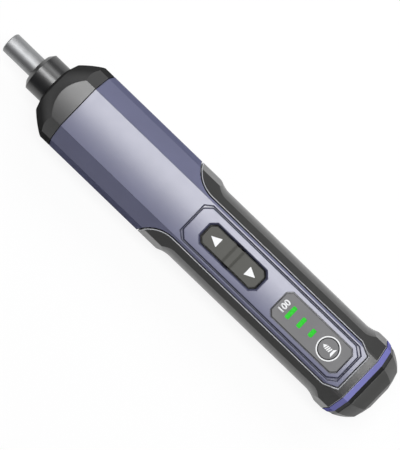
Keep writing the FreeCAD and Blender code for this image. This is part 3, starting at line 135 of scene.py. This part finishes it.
class Finish:
    """A material, or the world, built node by node."""

    def __init__(self, name, world=False):
        self.owner = (bpy.data.worlds if world else bpy.data.materials).new(name)
        self.owner.use_nodes = True
        self.tree = self.owner.node_tree
        self.tree.nodes.clear()
        self.end = "OutputWorld" if world else "OutputMaterial"

    def add(self, kind, settings=None, sockets=None, out=0):
        """Adds a node by its type, its settings and the values or links of its sockets, and gives the
        output to go on from, if it has any."""
        node = self.tree.nodes.new("ShaderNode" + kind)
        for name, value in (settings or {}).items():
            setattr(node, name, value)
        for place, value in (sockets or {}).items():
            if isinstance(value, Value):
                self.tree.links.new(value.socket, node.inputs[place])
            else:
                node.inputs[place].default_value = value
        return Value(self, node.outputs[out]) if node.outputs else None

    def blend(self, share, first, second):
        """A mix of two colours."""
        return self.add("Mix", {"data_type": "RGBA"}, {0: share, 6: first, 7: second}, out=2)

    def place(self, stretch=(1, 1, 1)):
        """Object coordinates, drawn out along the axes by a stretch."""
        spot = self.add("TexCoord", out="Object")
        shares = [1 / amount for amount in stretch]
        return self.add("Mapping", {"vector_type": "POINT"}, {"Vector": spot, "Scale": shares})

    def noise(self, size, detail=2, stretch=(1, 1, 1)):
        """Soft random spots of a size in metres."""
        spot = self.place(stretch)
        return self.add("TexNoise", {}, {"Vector": spot, "Scale": 1 / size, "Detail": detail})

    def rounded(self, radius):
        """The surface's normal, with its edges rounded off."""
        return self.add("Bevel", {"samples": BEVEL_SAMPLES}, {"Radius": radius})

    def turn(self, radius):
        """How far the surface turns within a radius: 0 on a face, more on an edge the sharper it is."""
        plain = self.add("NewGeometry", out="Normal")
        return 1 - self.add("VectorMath", {"operation": "DOT_PRODUCT"},
                            {0: self.rounded(radius), 1: plain}, out="Value")

    def worn(self, radius):
        """1 on edges that a hand has rubbed, 0 on the faces between them, broken up into patches."""
        patches = self.noise(WORN_PATCH, detail=4).between(*WORN_PATCH_SPAN)
        rubbed = self.turn(radius).between(*WORN_TURN_SPAN)
        return rubbed * (WORN_LEAST + (1 - WORN_LEAST) * patches)

    def crown(self, radius, normal, half=None):
        """The normal of faces that bulge across the tool to a wide radius, as moulded ones do. Further out
        than half a width, where one is given, they stay as they are."""
        spot = self.add("TexCoord", out="Object")
        across = self.add("SeparateXYZ", {}, {0: spot}, out="Y") * (1 / MM)
        if half:
            across = self.add("Clamp", {}, {"Value": across, "Min": -half / MM, "Max": half / MM})
        return self.bump(across * across * -1.0, MM * MM / (2 * radius), normal)

    def bump(self, height, depth, normal=None):
        """A normal that follows small heights, up to a depth in metres."""
        sockets = {"Height": height, "Distance": depth}
        if normal:
            sockets["Normal"] = normal
        return self.add("Bump", {}, sockets)

    def openness(self, reach):
        """1 where nothing stands above the surface within a reach, 0 deep in a gap."""
        return self.add("AmbientOcclusion", {"samples": OPEN_SAMPLES}, {"Distance": reach}, out="AO")

    def hollow_shade(self, reach):
        """1 deep in a seam or groove, 0 in the open: the mask of painted shade."""
        return 1 - self.openness(reach).between(*HOLLOW_OPEN_SPAN)

    def lip_highlight(self, reach):
        """1 on the sloping rim of a seam, 0 deep in it and in the open: the mask of a painted highlight."""
        clear = self.openness(reach)
        return clear.between(*LIP_DEEP_SPAN) * (1 - clear.between(*LIP_OPEN_SPAN))

    def shade(self, colour, roughness, normal=None, matt_aside=None, **others):
        """Ends the material in a Principled shader, whose other sockets come by name. A lacquer that is matt
        aside loses its gloss between two slants of the view: 0 is square to the surface, 1 along it."""
        sockets = {"Base Color": colour, "Roughness": roughness}
        if normal:
            sockets["Normal"] = normal
        for name, value in others.items():
            sockets[name.replace("_", " ").title().replace("Ior", "IOR")] = value
        surface = self.add("BsdfPrincipled", {}, sockets)
        if matt_aside:
            slant = self.add("LayerWeight", out="Facing").between(*matt_aside)
            matt = self.add("BsdfPrincipled", {}, {**sockets, "Specular IOR Level": 0.0})
            surface = self.add("MixShader", {}, {0: slant, 1: surface, 2: matt})
        return self.close(surface)

    def close(self, surface):
        """Ends the material, or the world, in its output."""
        self.add(self.end, {}, {"Surface": surface})
        return self.owner


def uneven(level, spread, noise):
    """A level that a noise moves up and down by half a spread."""
    return level - spread / 2 + spread * noise


# Moulded plastic

EDGE_ROUND = 0.25 * MM
FINE_ROUND = 0.12 * MM
FACE_CROWN = 110 * MM
CLOUD_SIZE = 18 * MM
CLOUD_SPAN = (0.35, 0.7)
CLOUD_TONE = 0.93
# Painted shade: within this reach, seams, grooves and gaps are darkened by this share towards the colour at
# this tone
SEAM_SHADE_REACH = 1.2 * MM
SEAM_SHADE_TONE = 0.12
SEAM_SHADE_SHARE = 0.9
GLOSS_SPOT = 3 * MM
GLOSS_SPREAD = 0.06


def moulded(name, colour, worn_colour, roughness, grain, depth, edge=EDGE_ROUND, wear=0.5, crown=None,
            reach=SEAM_SHADE_REACH, rim=None, **others):
    """Moulded plastic: a fine grain, slightly uneven gloss, edges rubbed to another tone, and painted shade
    that darkens seams, grooves and gaps and, where a rim width is given, bevelled edges.
    """
    finish = Finish(name)
    clouds = finish.noise(CLOUD_SIZE, detail=3).between(*CLOUD_SPAN)
    body = finish.blend(clouds, colour, dimmed(colour, CLOUD_TONE))
    body = finish.blend(finish.worn(2 * edge) * wear, body, worn_colour)
    # Painted shade: the colour is darkened where the surface lies deep in a seam, groove or gap
    seam = dimmed(colour, SEAM_SHADE_TONE)
    body = finish.blend(finish.hollow_shade(reach) * SEAM_SHADE_SHARE, body, seam)
    # Painted shade: edges that turn sharply within the rim width are darkened too
    if rim:
        body = finish.blend(finish.turn(rim).between(*RIM_SHADE_TURN_SPAN) * SEAM_SHADE_SHARE, body, seam)
    skin = finish.rounded(edge)
    if crown:
        skin = finish.crown(crown, skin)
    skin = finish.bump(finish.noise(grain), depth, skin)
    gloss = uneven(roughness, GLOSS_SPREAD, finish.noise(GLOSS_SPOT, detail=4))
    return finish.shade(body, gloss, skin, **others)


# Metal

TOOL_LINE = 0.25 * MM
TOOL_LINE_SPREAD = 0.1
STAIN_SIZE = 5 * MM
STAIN_SPAN = (0.4, 0.75)
STAIN_SHARE = 0.6
STAIN_TONE = 0.8


def metal(name, colour, roughness, lines, depth=0.004 * MM, tint=None):
    """Bare or plated metal with soft stains and fine tool lines, drawn out along the axes."""
    finish = Finish(name)
    marks = finish.noise(TOOL_LINE, detail=3, stretch=lines)
    stain = finish.noise(STAIN_SIZE, detail=3).between(*STAIN_SPAN)
    body = finish.blend(stain * STAIN_SHARE, colour, tint or dimmed(colour, STAIN_TONE))
    skin = finish.bump(marks, depth, finish.rounded(FINE_ROUND))
    return finish.shade(body, uneven(roughness, TOOL_LINE_SPREAD, marks), skin, metallic=1.0)


# Plain finish of pieces inside

SPECKLE_SPAN = (0.3, 0.7)
SPECKLE_SPREAD = 0.08


def dull(name, colour, roughness, grain=0.3 * MM, depth=0.01 * MM, speckle=0.2, **others):
    """A dull surface with a grain and a speckle of tone."""
    finish = Finish(name)
    grains = finish.noise(grain, detail=3)
    body = finish.blend(grains.between(*SPECKLE_SPAN), colour, dimmed(colour, 1 - speckle))
    gloss = uneven(roughness, SPECKLE_SPREAD, grains)
    return finish.shade(body, gloss, finish.bump(grains, depth), **others)


# Soft rubber of the grip

RUBBER = srgb(33, 33, 32)
RUBBER_DEEP = srgb(28, 28, 27)
RUBBER_WORN = srgb(96, 96, 94)
RUBBER_WEAR = 0.4
RUBBER_CLOUD = 14 * MM
RUBBER_ROUGHNESS = 0.36
RUBBER_SPREAD = 0.12
RUBBER_GLOSS_SPOT = 2 * MM
PEBBLE_SIZE = 0.42 * MM
PEBBLE_DEPTH = 0.02 * MM
# Painted highlight: a pale line on the sloping edge of the grip's seam
LIP_HIGHLIGHT = srgb(200, 202, 206)
LIP_HIGHLIGHT_REACH = 1.2 * MM
TAIL_HALF = 10.5 * MM


def soft_touch_rubber():
    """Soft rubber: an even pebble grain, a velvet sheen and a painted highlight as a pale rim along the
    seam.
    """
    finish = Finish("soft_touch_rubber")
    pebbles = finish.add("TexVoronoi", {"feature": "SMOOTH_F1"},
                         {"Vector": finish.place(), "Scale": 1 / PEBBLE_SIZE, "Smoothness": 0.6})
    clouds = finish.noise(RUBBER_CLOUD, detail=3).between(*CLOUD_SPAN)
    body = finish.blend(clouds, RUBBER, RUBBER_DEEP)
    body = finish.blend(finish.worn(2 * EDGE_ROUND) * RUBBER_WEAR, body, RUBBER_WORN)
    # Painted highlight along the sloping edge of the seam
    body = finish.blend(finish.lip_highlight(LIP_HIGHLIGHT_REACH), body, LIP_HIGHLIGHT)
    skin = finish.crown(FACE_CROWN, finish.rounded(EDGE_ROUND), TAIL_HALF)
    gloss = uneven(RUBBER_ROUGHNESS, RUBBER_SPREAD, finish.noise(RUBBER_GLOSS_SPOT, detail=4))
    return finish.shade(body, gloss, finish.bump(pebbles, PEBBLE_DEPTH, skin),
                        sheen_weight=0.15, sheen_roughness=0.4, specular_ior_level=0.62)


# Lit bars of the status panel

LIGHT_GUIDE = srgb(12, 70, 14)
LIGHT_DIM = srgb(30, 205, 34)
LIGHT_BRIGHT = srgb(52, 226, 52)
LIGHT_CLOUD = 0.8 * MM
LIGHT_SPAN = (0.3, 0.7)
LIGHT_ROUGHNESS = 0.5


def lit_bar():
    """Green light guide with a soft unevenness in its glow."""
    finish = Finish("lit_bar")
    clouds = finish.noise(LIGHT_CLOUD).between(*LIGHT_SPAN)
    glow = finish.blend(clouds, LIGHT_DIM, LIGHT_BRIGHT)
    return finish.shade(LIGHT_GUIDE, LIGHT_ROUGHNESS, emission_color=glow, emission_strength=0.8,
                        specular_ior_level=0.15)


# Ink of the printed marks

INK_GRAIN = 0.35 * MM
INK_DEPTH = 0.004 * MM
INK_COVER_SPAN = (0.35, 0.75)
INK_THIN_TONE = 0.9
INK_ROUGHNESS = 0.55
INK_SPREAD = 0.1


def print_ink(name, colour):
    """Pad-printed ink: slightly uneven cover and a dry gloss."""
    finish = Finish(name)
    cover = finish.noise(INK_GRAIN, detail=4)
    body = finish.blend(cover.between(*INK_COVER_SPAN), colour, dimmed(colour, INK_THIN_TONE))
    return finish.shade(body, uneven(INK_ROUGHNESS, INK_SPREAD, cover), finish.bump(cover, INK_DEPTH))


# Shrink film of the cell

FILM = srgb(52, 112, 168)
FILM_DEEP = srgb(40, 92, 146)
FILM_ROUGHNESS = 0.33
FILM_SPREAD = 0.1
WRINKLE_SIZE = 2.2 * MM
WRINKLE_STRETCH = (1, 4, 4)
WRINKLE_SPAN = (0.3, 0.7)
WRINKLE_DEPTH = 0.05 * MM


def cell_wrap():
    """Blue shrink film with soft wrinkles."""
    finish = Finish("cell_wrap")
    wrinkles = finish.noise(WRINKLE_SIZE, detail=3, stretch=WRINKLE_STRETCH)
    body = finish.blend(wrinkles.between(*WRINKLE_SPAN), FILM, FILM_DEEP)
    gloss = uneven(FILM_ROUGHNESS, FILM_SPREAD, wrinkles)
    return finish.shade(body, gloss, finish.bump(wrinkles, WRINKLE_DEPTH), coat_weight=0.4)


# Circuit boards

MASK = srgb(24, 28, 26)
MASK_OVER_TRACK = srgb(52, 54, 48)
MASK_ROUGHNESS = 0.39
MASK_SPREAD = 0.1
MASK_GLOSS_SPOT = 1 * MM
TRACK_PITCH = 6 * MM
TRACK_SHARE = 0.045
TRACK_DEPTH = 0.03 * MM


def circuit_board():
    """Black solder mask with copper tracks that show through as paler lines."""
    finish = Finish("circuit_board")
    tracks = finish.add("TexBrick", {"offset": 0.35, "squash": 1.6},
                        {"Vector": finish.place(), "Scale": 1 / TRACK_PITCH, "Mortar Size": TRACK_SHARE,
                         "Color1": BLACK, "Color2": BLACK, "Mortar": WHITE}, out="Fac")
    body = finish.blend(tracks, MASK, MASK_OVER_TRACK)
    gloss = uneven(MASK_ROUGHNESS, MASK_SPREAD, finish.noise(MASK_GLOSS_SPOT))
    return finish.shade(body, gloss, finish.bump(tracks, TRACK_DEPTH))


# Finishes of the pieces, by the slots of their nodes

# The violet's painted shade reaches further, into the rocker window, and also darkens its bevelled edges
# over this width
WINDOW_SHADE_REACH = 2.2 * MM
RIM_SHADE_WIDTH = 0.9 * MM
VIOLET_SLANTS = (0.1, 0.45)
RING_SLANTS = (0.14, 0.5)
NOSE_SLANTS = (0.16, 0.6)

finishes = {
    "violet_plastic": moulded(
        "satin_violet", srgb(99, 101, 127), srgb(150, 152, 180), roughness=0.3, grain=0.16 * MM,
        depth=0.004 * MM, wear=0.4, crown=FACE_CROWN, reach=WINDOW_SHADE_REACH, rim=RIM_SHADE_WIDTH,
        specular_ior_level=0.76, matt_aside=VIOLET_SLANTS),
    "black_plastic": moulded(
        "nose_black", srgb(50, 50, 50), srgb(92, 92, 93), roughness=0.32, grain=0.2 * MM,
        depth=0.004 * MM, crown=FACE_CROWN, specular_ior_level=0.6, matt_aside=NOSE_SLANTS),
    "collar_gloss": moulded(
        "collar_black", srgb(24, 24, 25), srgb(70, 70, 72), roughness=0.33, grain=0.3 * MM,
        depth=0.003 * MM, wear=0.4, specular_ior_level=1.0),
    "grip_rubber": soft_touch_rubber(),
    "cap_plastic": moulded(
        "cap_grain", srgb(70, 70, 69), srgb(108, 108, 106), roughness=0.42, grain=0.28 * MM,
        depth=0.02 * MM),
    "gasket_rubber": moulded(
        "band_black", srgb(22, 22, 23), srgb(62, 62, 64), roughness=0.45, grain=0.3 * MM,
        depth=0.004 * MM, wear=0.3, specular_ior_level=0.4),
    "rocker_plastic": moulded(
        "rocker_satin", srgb(82, 82, 78), srgb(136, 136, 132), roughness=0.5, grain=0.2 * MM,
        depth=0.01 * MM, edge=FINE_ROUND, specular_ior_level=0.2),
    "panel_plastic": moulded(
        "panel_satin", srgb(118, 118, 119), srgb(170, 170, 172), roughness=0.5, grain=0.18 * MM,
        depth=0.006 * MM, edge=FINE_ROUND, wear=0.3, specular_ior_level=0.2),
    "light_plastic": lit_bar(),
    "holder_steel": metal(
        "holder_steel", srgb(164, 165, 166), roughness=0.54, lines=(1, 12, 12), depth=0.002 * MM),
    "gear_steel": metal("gear_steel", srgb(168, 170, 174), roughness=0.34, lines=(1, 8, 8)),
    "screw_steel": metal(
        "screw_zinc", srgb(150, 154, 164), roughness=0.3, lines=(1, 6, 6), tint=srgb(168, 160, 138)),
    "bush_bronze": metal(
        "bush_bronze", srgb(176, 150, 104), roughness=0.42, lines=(1, 3, 3), depth=0.01 * MM),
    "copper": metal("bright_copper", srgb(206, 140, 96), roughness=0.32, lines=(12, 1, 1)),
    "magnet": dull("magnet_grey", srgb(78, 78, 82), roughness=0.5, metallic=0.6),
    "motor_steel": metal("motor_steel", srgb(172, 174, 178), roughness=0.36, lines=(1, 10, 10)),
    "case_metal": moulded(
        "case_black", srgb(34, 34, 35), srgb(70, 70, 72), roughness=0.3, grain=0.3 * MM,
        depth=0.006 * MM, wear=0.3),
    "inner_plastic": dull("inner_black", srgb(48, 48, 50), roughness=0.5),
    "board_black": circuit_board(),
    "chip_black": dull("chip_black", srgb(30, 30, 32), roughness=0.55, grain=0.12 * MM),
    "cell_sleeve": cell_wrap(),
    "nickel": metal("nickel", srgb(196, 194, 186), roughness=0.28, lines=(8, 1, 1)),
    "lead_insulation": dull(
        "lead_red", srgb(168, 40, 36), roughness=0.45, grain=0.5 * MM, depth=0.006 * MM, speckle=0.1),
    "lamp_white": dull(
        "lamp_white", srgb(228, 230, 222), roughness=0.2, speckle=0.06, transmission_weight=0.2),
}
ring_violet = moulded(
    "ring_violet", srgb(112, 112, 178), srgb(160, 160, 212), roughness=0.3, grain=0.16 * MM,
    depth=0.004 * MM, wear=0.4, specular_ior_level=1.0, matt_aside=RING_SLANTS)
white_ink = print_ink("white_ink", srgb(236, 237, 238))
# Painted shade: a dark ink that stands in for the shadow in the status panel's gap
painted_gap_shade = print_ink("painted_gap_shade", srgb(24, 24, 26))

for subpart in frame["record"]["subparts"]:
    mesh = frame["nodes"][subpart["node"]].data
    mesh.materials[0] = finishes[subpart["material_slot"]]
frame["nodes"]["trim_ring"].data.materials[0] = ring_violet


# Printed marks

INK_HEIGHT = 0.03 * MM
INK_SINK = 0.02 * MM
CORNER_ROUND = 0.28 * MM
CORNER_STEPS = 4


def middle(node):
    """The middle of a node's box."""
    low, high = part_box(node)
    return (low + high) / 2


def made(name, shape, finish):
    """Makes a finished bmesh an object of the scene."""
    mesh = bpy.data.meshes.new(name)
    shape.to_mesh(mesh)
    shape.free()
    mesh.materials.append(finish)
    piece = bpy.data.objects.new(name, mesh)
    bpy.context.collection.objects.link(piece)
    return piece


def patch(shape, corners, round_off=0.0):
    """A flat patch of ink through a few corners."""
    spots = [shape.verts.new((along, across, 0)) for along, across in corners]
    shape.faces.new(spots)
    if round_off:
        bmesh.ops.bevel(shape, geom=spots, offset=round_off, affect="VERTICES", segments=CORNER_STEPS,
                        profile=0.5, material=-1)


def ink(name, shape, place, body, finish=white_ink):
    """Gives flat patches the thickness of a print and lays them on a surface of a body."""
    bmesh.ops.recalc_face_normals(shape, faces=shape.faces)
    for face in shape.faces:
        if face.normal.z < 0:
            face.normal_flip()
    skin = bmesh.ops.extrude_face_region(shape, geom=shape.faces[:])
    raised = [item for item in skin["geom"] if isinstance(item, bmesh.types.BMVert)]
    bmesh.ops.translate(shape, verts=raised, vec=(0, 0, INK_HEIGHT + INK_SINK))
    bmesh.ops.translate(shape, verts=shape.verts, vec=(0, 0, -INK_SINK))
    bmesh.ops.transform(shape, matrix=place, verts=shape.verts)
    bmesh.ops.recalc_face_normals(shape, faces=shape.faces)
    piece = made(name, shape, finish)
    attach(piece, body)


# Arrows on the rocker's two ends

ARROW_FROM_END = 2.3 * MM
ARROW_LENGTH = 4.25 * MM
ARROW_HALF = 2.1 * MM
RIDGE_HEIGHT = 0.6 * MM

rocker_low, rocker_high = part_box("rocker_button")
rocker_face = rocker_high.z - RIDGE_HEIGHT
for name, end, way in (("arrow_front", rocker_low.x, 1), ("arrow_rear", rocker_high.x, -1)):
    arrow = bmesh.new()
    tip = end + way * ARROW_FROM_END
    base = tip + way * ARROW_LENGTH
    patch(arrow, [(tip, 0), (base, -way * ARROW_HALF), (base, way * ARROW_HALF)], CORNER_ROUND)
    ink(name, arrow, Matrix.Translation((0, 0, rocker_face)), "rocker")

# Number on the status panel, beside the longest light bar

NUMBER = "100"
NUMBER_FROM_FRONT = 2.9 * MM
NUMBER_SIZE = 3.7 * MM
NUMBER_BOLD_SHARE = 0.042
QUARTER_TURN = math.radians(90)

panel_low, panel_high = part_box("status_panel")
panel_face = panel_high.z
letters = bpy.data.curves.new("charge_number", "FONT")
letters.body = NUMBER
letters.size = NUMBER_SIZE
letters.align_x = "CENTER"
letters.align_y = "CENTER"
letters.offset = NUMBER_BOLD_SHARE * NUMBER_SIZE
sign = bpy.data.objects.new("charge_number_text", letters)
digits = bmesh.new()
digits.from_mesh(bpy.data.meshes.new_from_object(sign))
bpy.data.objects.remove(sign)
spot = Matrix.Translation((panel_low.x + NUMBER_FROM_FRONT, 0, panel_face))
ink("charge_number", digits, spot @ Matrix.Rotation(QUARTER_TURN, 4, "Z"), "housing")

# Painted shade: a dark line along the edge of the status panel, in place of the shadow in its gap

GAP_SHADE_WIDTH = 0.22 * MM

panel = frame["nodes"]["status_panel"]
places = [panel.matrix_world @ vertex.co for vertex in panel.data.vertices]
on_face = [place.to_2d() for place in places if place.z > panel_face - INK_SINK]
border = bmesh.new()
patch(border, [on_face[index] for index in convex_hull_2d(on_face)])
bmesh.ops.remove_doubles(border, verts=border.verts, dist=INK_SINK)
border.normal_update()
inside = border.faces[:]
bmesh.ops.inset_region(border, faces=inside, thickness=GAP_SHADE_WIDTH, use_boundary=True,
                       use_even_offset=True)
bmesh.ops.delete(border, geom=inside, context="FACES")
# Painted shade laid along the panel's edge
ink("panel_gap_shade", border, Matrix.Translation((0, 0, panel_face)), "housing", painted_gap_shade)

# Ring round the mode button

RING_INNER = 4.45 * MM
RING_OUTER = 4.95 * MM
RING_STEPS = 72

button = middle("mode_button")
ring = bmesh.new()
line = [ring.verts.new((radius, 0, 0)) for radius in (RING_INNER, RING_OUTER)]
edge = ring.edges.new(line)
bmesh.ops.spin(ring, geom=line + [edge], axis=(0, 0, 1), cent=(0, 0, 0), steps=RING_STEPS, angle=math.tau,
               use_merge=True)
ink("button_ring", ring, Matrix.Translation((button.x, 0, panel_face)), "housing")

# Screw sign on the mode button

SIGN_HALF = 2.75 * MM
HEAD_HALF = 1.85 * MM
HEAD_LENGTH = 1.0 * MM
HEAD_TAPER = 0.85 * MM
HEAD_GAP = 0.33 * MM
THREAD_HALF = 0.95 * MM
THREAD_WIDTH = 0.55 * MM
THREAD_PITCH = 0.85 * MM
THREAD_LEAN = 0.45 * MM
THREADS = 3

neck = SIGN_HALF - HEAD_LENGTH
brim = neck + HEAD_TAPER
screw = bmesh.new()
patch(screw, [(neck, -THREAD_HALF), (brim, -HEAD_HALF), (SIGN_HALF, -HEAD_HALF),
              (SIGN_HALF, HEAD_HALF), (brim, HEAD_HALF), (neck, THREAD_HALF)])
for thread in range(THREADS):
    rear = neck - HEAD_GAP - thread * THREAD_PITCH
    patch(screw, [(rear - THREAD_WIDTH - THREAD_LEAN, -THREAD_HALF), (rear - THREAD_LEAN, -THREAD_HALF),
                  (rear, THREAD_HALF), (rear - THREAD_WIDTH, THREAD_HALF)])
shoulder = rear - THREAD_PITCH
patch(screw, [(-SIGN_HALF, 0), (shoulder - THREAD_LEAN, -THREAD_HALF), (shoulder, THREAD_HALF)])
button_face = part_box("mode_button")[1].z
ink("screw_sign", screw, Matrix.Translation((button.x, 0, button_face)), "mode_key")


# Studio floor

FLOOR_HALF = 6.0
FLOOR_CELLS = 4
FLOOR_GLOW = 0.88
PAPER = (0.92, 0.92, 0.92, 1)


def studio_floor():
    """White paper: it shows its own white to the eye and in reflections, and keeps the tool's shadow."""
    finish = Finish("studio_paper")
    seen = finish.add("LightPath", out="Is Camera Ray")
    for ray in ("Is Glossy Ray", "Is Transmission Ray"):
        seen = seen + finish.add("LightPath", out=ray)
    share = seen.reckon("MINIMUM", seen, 1.0) * FLOOR_GLOW
    paper = finish.add("BsdfDiffuse", {}, {"Color": PAPER})
    glow = finish.add("Emission", {}, {"Color": WHITE, "Strength": 1.0})
    sheet = finish.close(finish.add("MixShader", {}, {0: share, 1: paper, 2: glow}))
    shape = bmesh.new()
    bmesh.ops.create_grid(shape, x_segments=FLOOR_CELLS, y_segments=FLOOR_CELLS, size=FLOOR_HALF)
    floor = made("floor", shape, sheet)


# Studio room and lamps

ROOM_NEAR = (0.06, 0.06, 0.065, 1)
ROOM_FAR = (0.24, 0.24, 0.25, 1)
FAR_WAY = (-0.25, 0.85, 0.45)
FAR_SPAN = (-0.7, 0.8)
LAMP_AIM = (0, 0, 16 * MM)
KEY_PLACE = (0, 0.16, 1.04)
KEY_SIZE = (0.8, 0.3)
KEY_POWER = 9.0
FILL_PLACE = (0, 0.75, 0.75)
FILL_SIZE = (0.8, 0.4)
FILL_POWER = 3.3


def studio_world():
    """A room that is pale on the far side of the tool and darker on the near one."""
    world = Finish("studio_room", world=True)
    way = world.add("TexCoord", out="Generated")
    side = world.add("VectorMath", {"operation": "DOT_PRODUCT"}, {0: way, 1: FAR_WAY}, out="Value")
    tone = world.blend(side.between(*FAR_SPAN), ROOM_NEAR, ROOM_FAR)
    bpy.context.scene.world = world.close(world.add("Background", {}, {"Color": tone, "Strength": 1.0}))


def softbox(name, place, size, power):
    """A flat lamp that is aimed at the middle of the tool."""
    lamp = bpy.data.lights.new(name, "AREA")
    lamp.shape = "RECTANGLE"
    lamp.size, lamp.size_y = size
    lamp.energy = power
    box = bpy.data.objects.new(name, lamp)
    box.location = place
    box.rotation_euler = (Vector(LAMP_AIM) - Vector(place)).to_track_quat("-Z", "Y").to_euler()
    bpy.context.collection.objects.link(box)


# Camera

CAMERA_HEIGHT = 490 * MM
CAMERA_X = -0.8 * MM
CAMERA_CLIP = 10 * MM
CENTRE_AHEAD = 4.6 * MM
AXIS_TILT = math.radians(43.97)
PICTURE_HEIGHT = 180 * MM
SENSOR_WIDTH = 36


def studio_camera():
    """Straight down on the controls, with the tool's axis across the picture's diagonal."""
    lens = bpy.data.cameras.new("camera")
    lens.sensor_width = SENSOR_WIDTH
    lens.lens = CAMERA_HEIGHT / PICTURE_HEIGHT * SENSOR_WIDTH
    lens.shift_x = CENTRE_AHEAD * math.cos(AXIS_TILT) / PICTURE_HEIGHT
    lens.shift_y = -CENTRE_AHEAD * math.sin(AXIS_TILT) / PICTURE_HEIGHT
    lens.clip_start = CAMERA_CLIP
    camera = bpy.data.objects.new("camera", lens)
    camera.location = (CAMERA_X, 0, middle("spindle").z + CAMERA_HEIGHT)
    camera.rotation_euler = (0, 0, AXIS_TILT)
    bpy.context.collection.objects.link(camera)
    bpy.context.scene.camera = camera


studio_floor()
studio_world()
studio_camera()
softbox("key", KEY_PLACE, KEY_SIZE, KEY_POWER)
softbox("fill", FILL_PLACE, FILL_SIZE, FILL_POWER)
bpy.context.scene.view_settings.view_transform = "Standard"
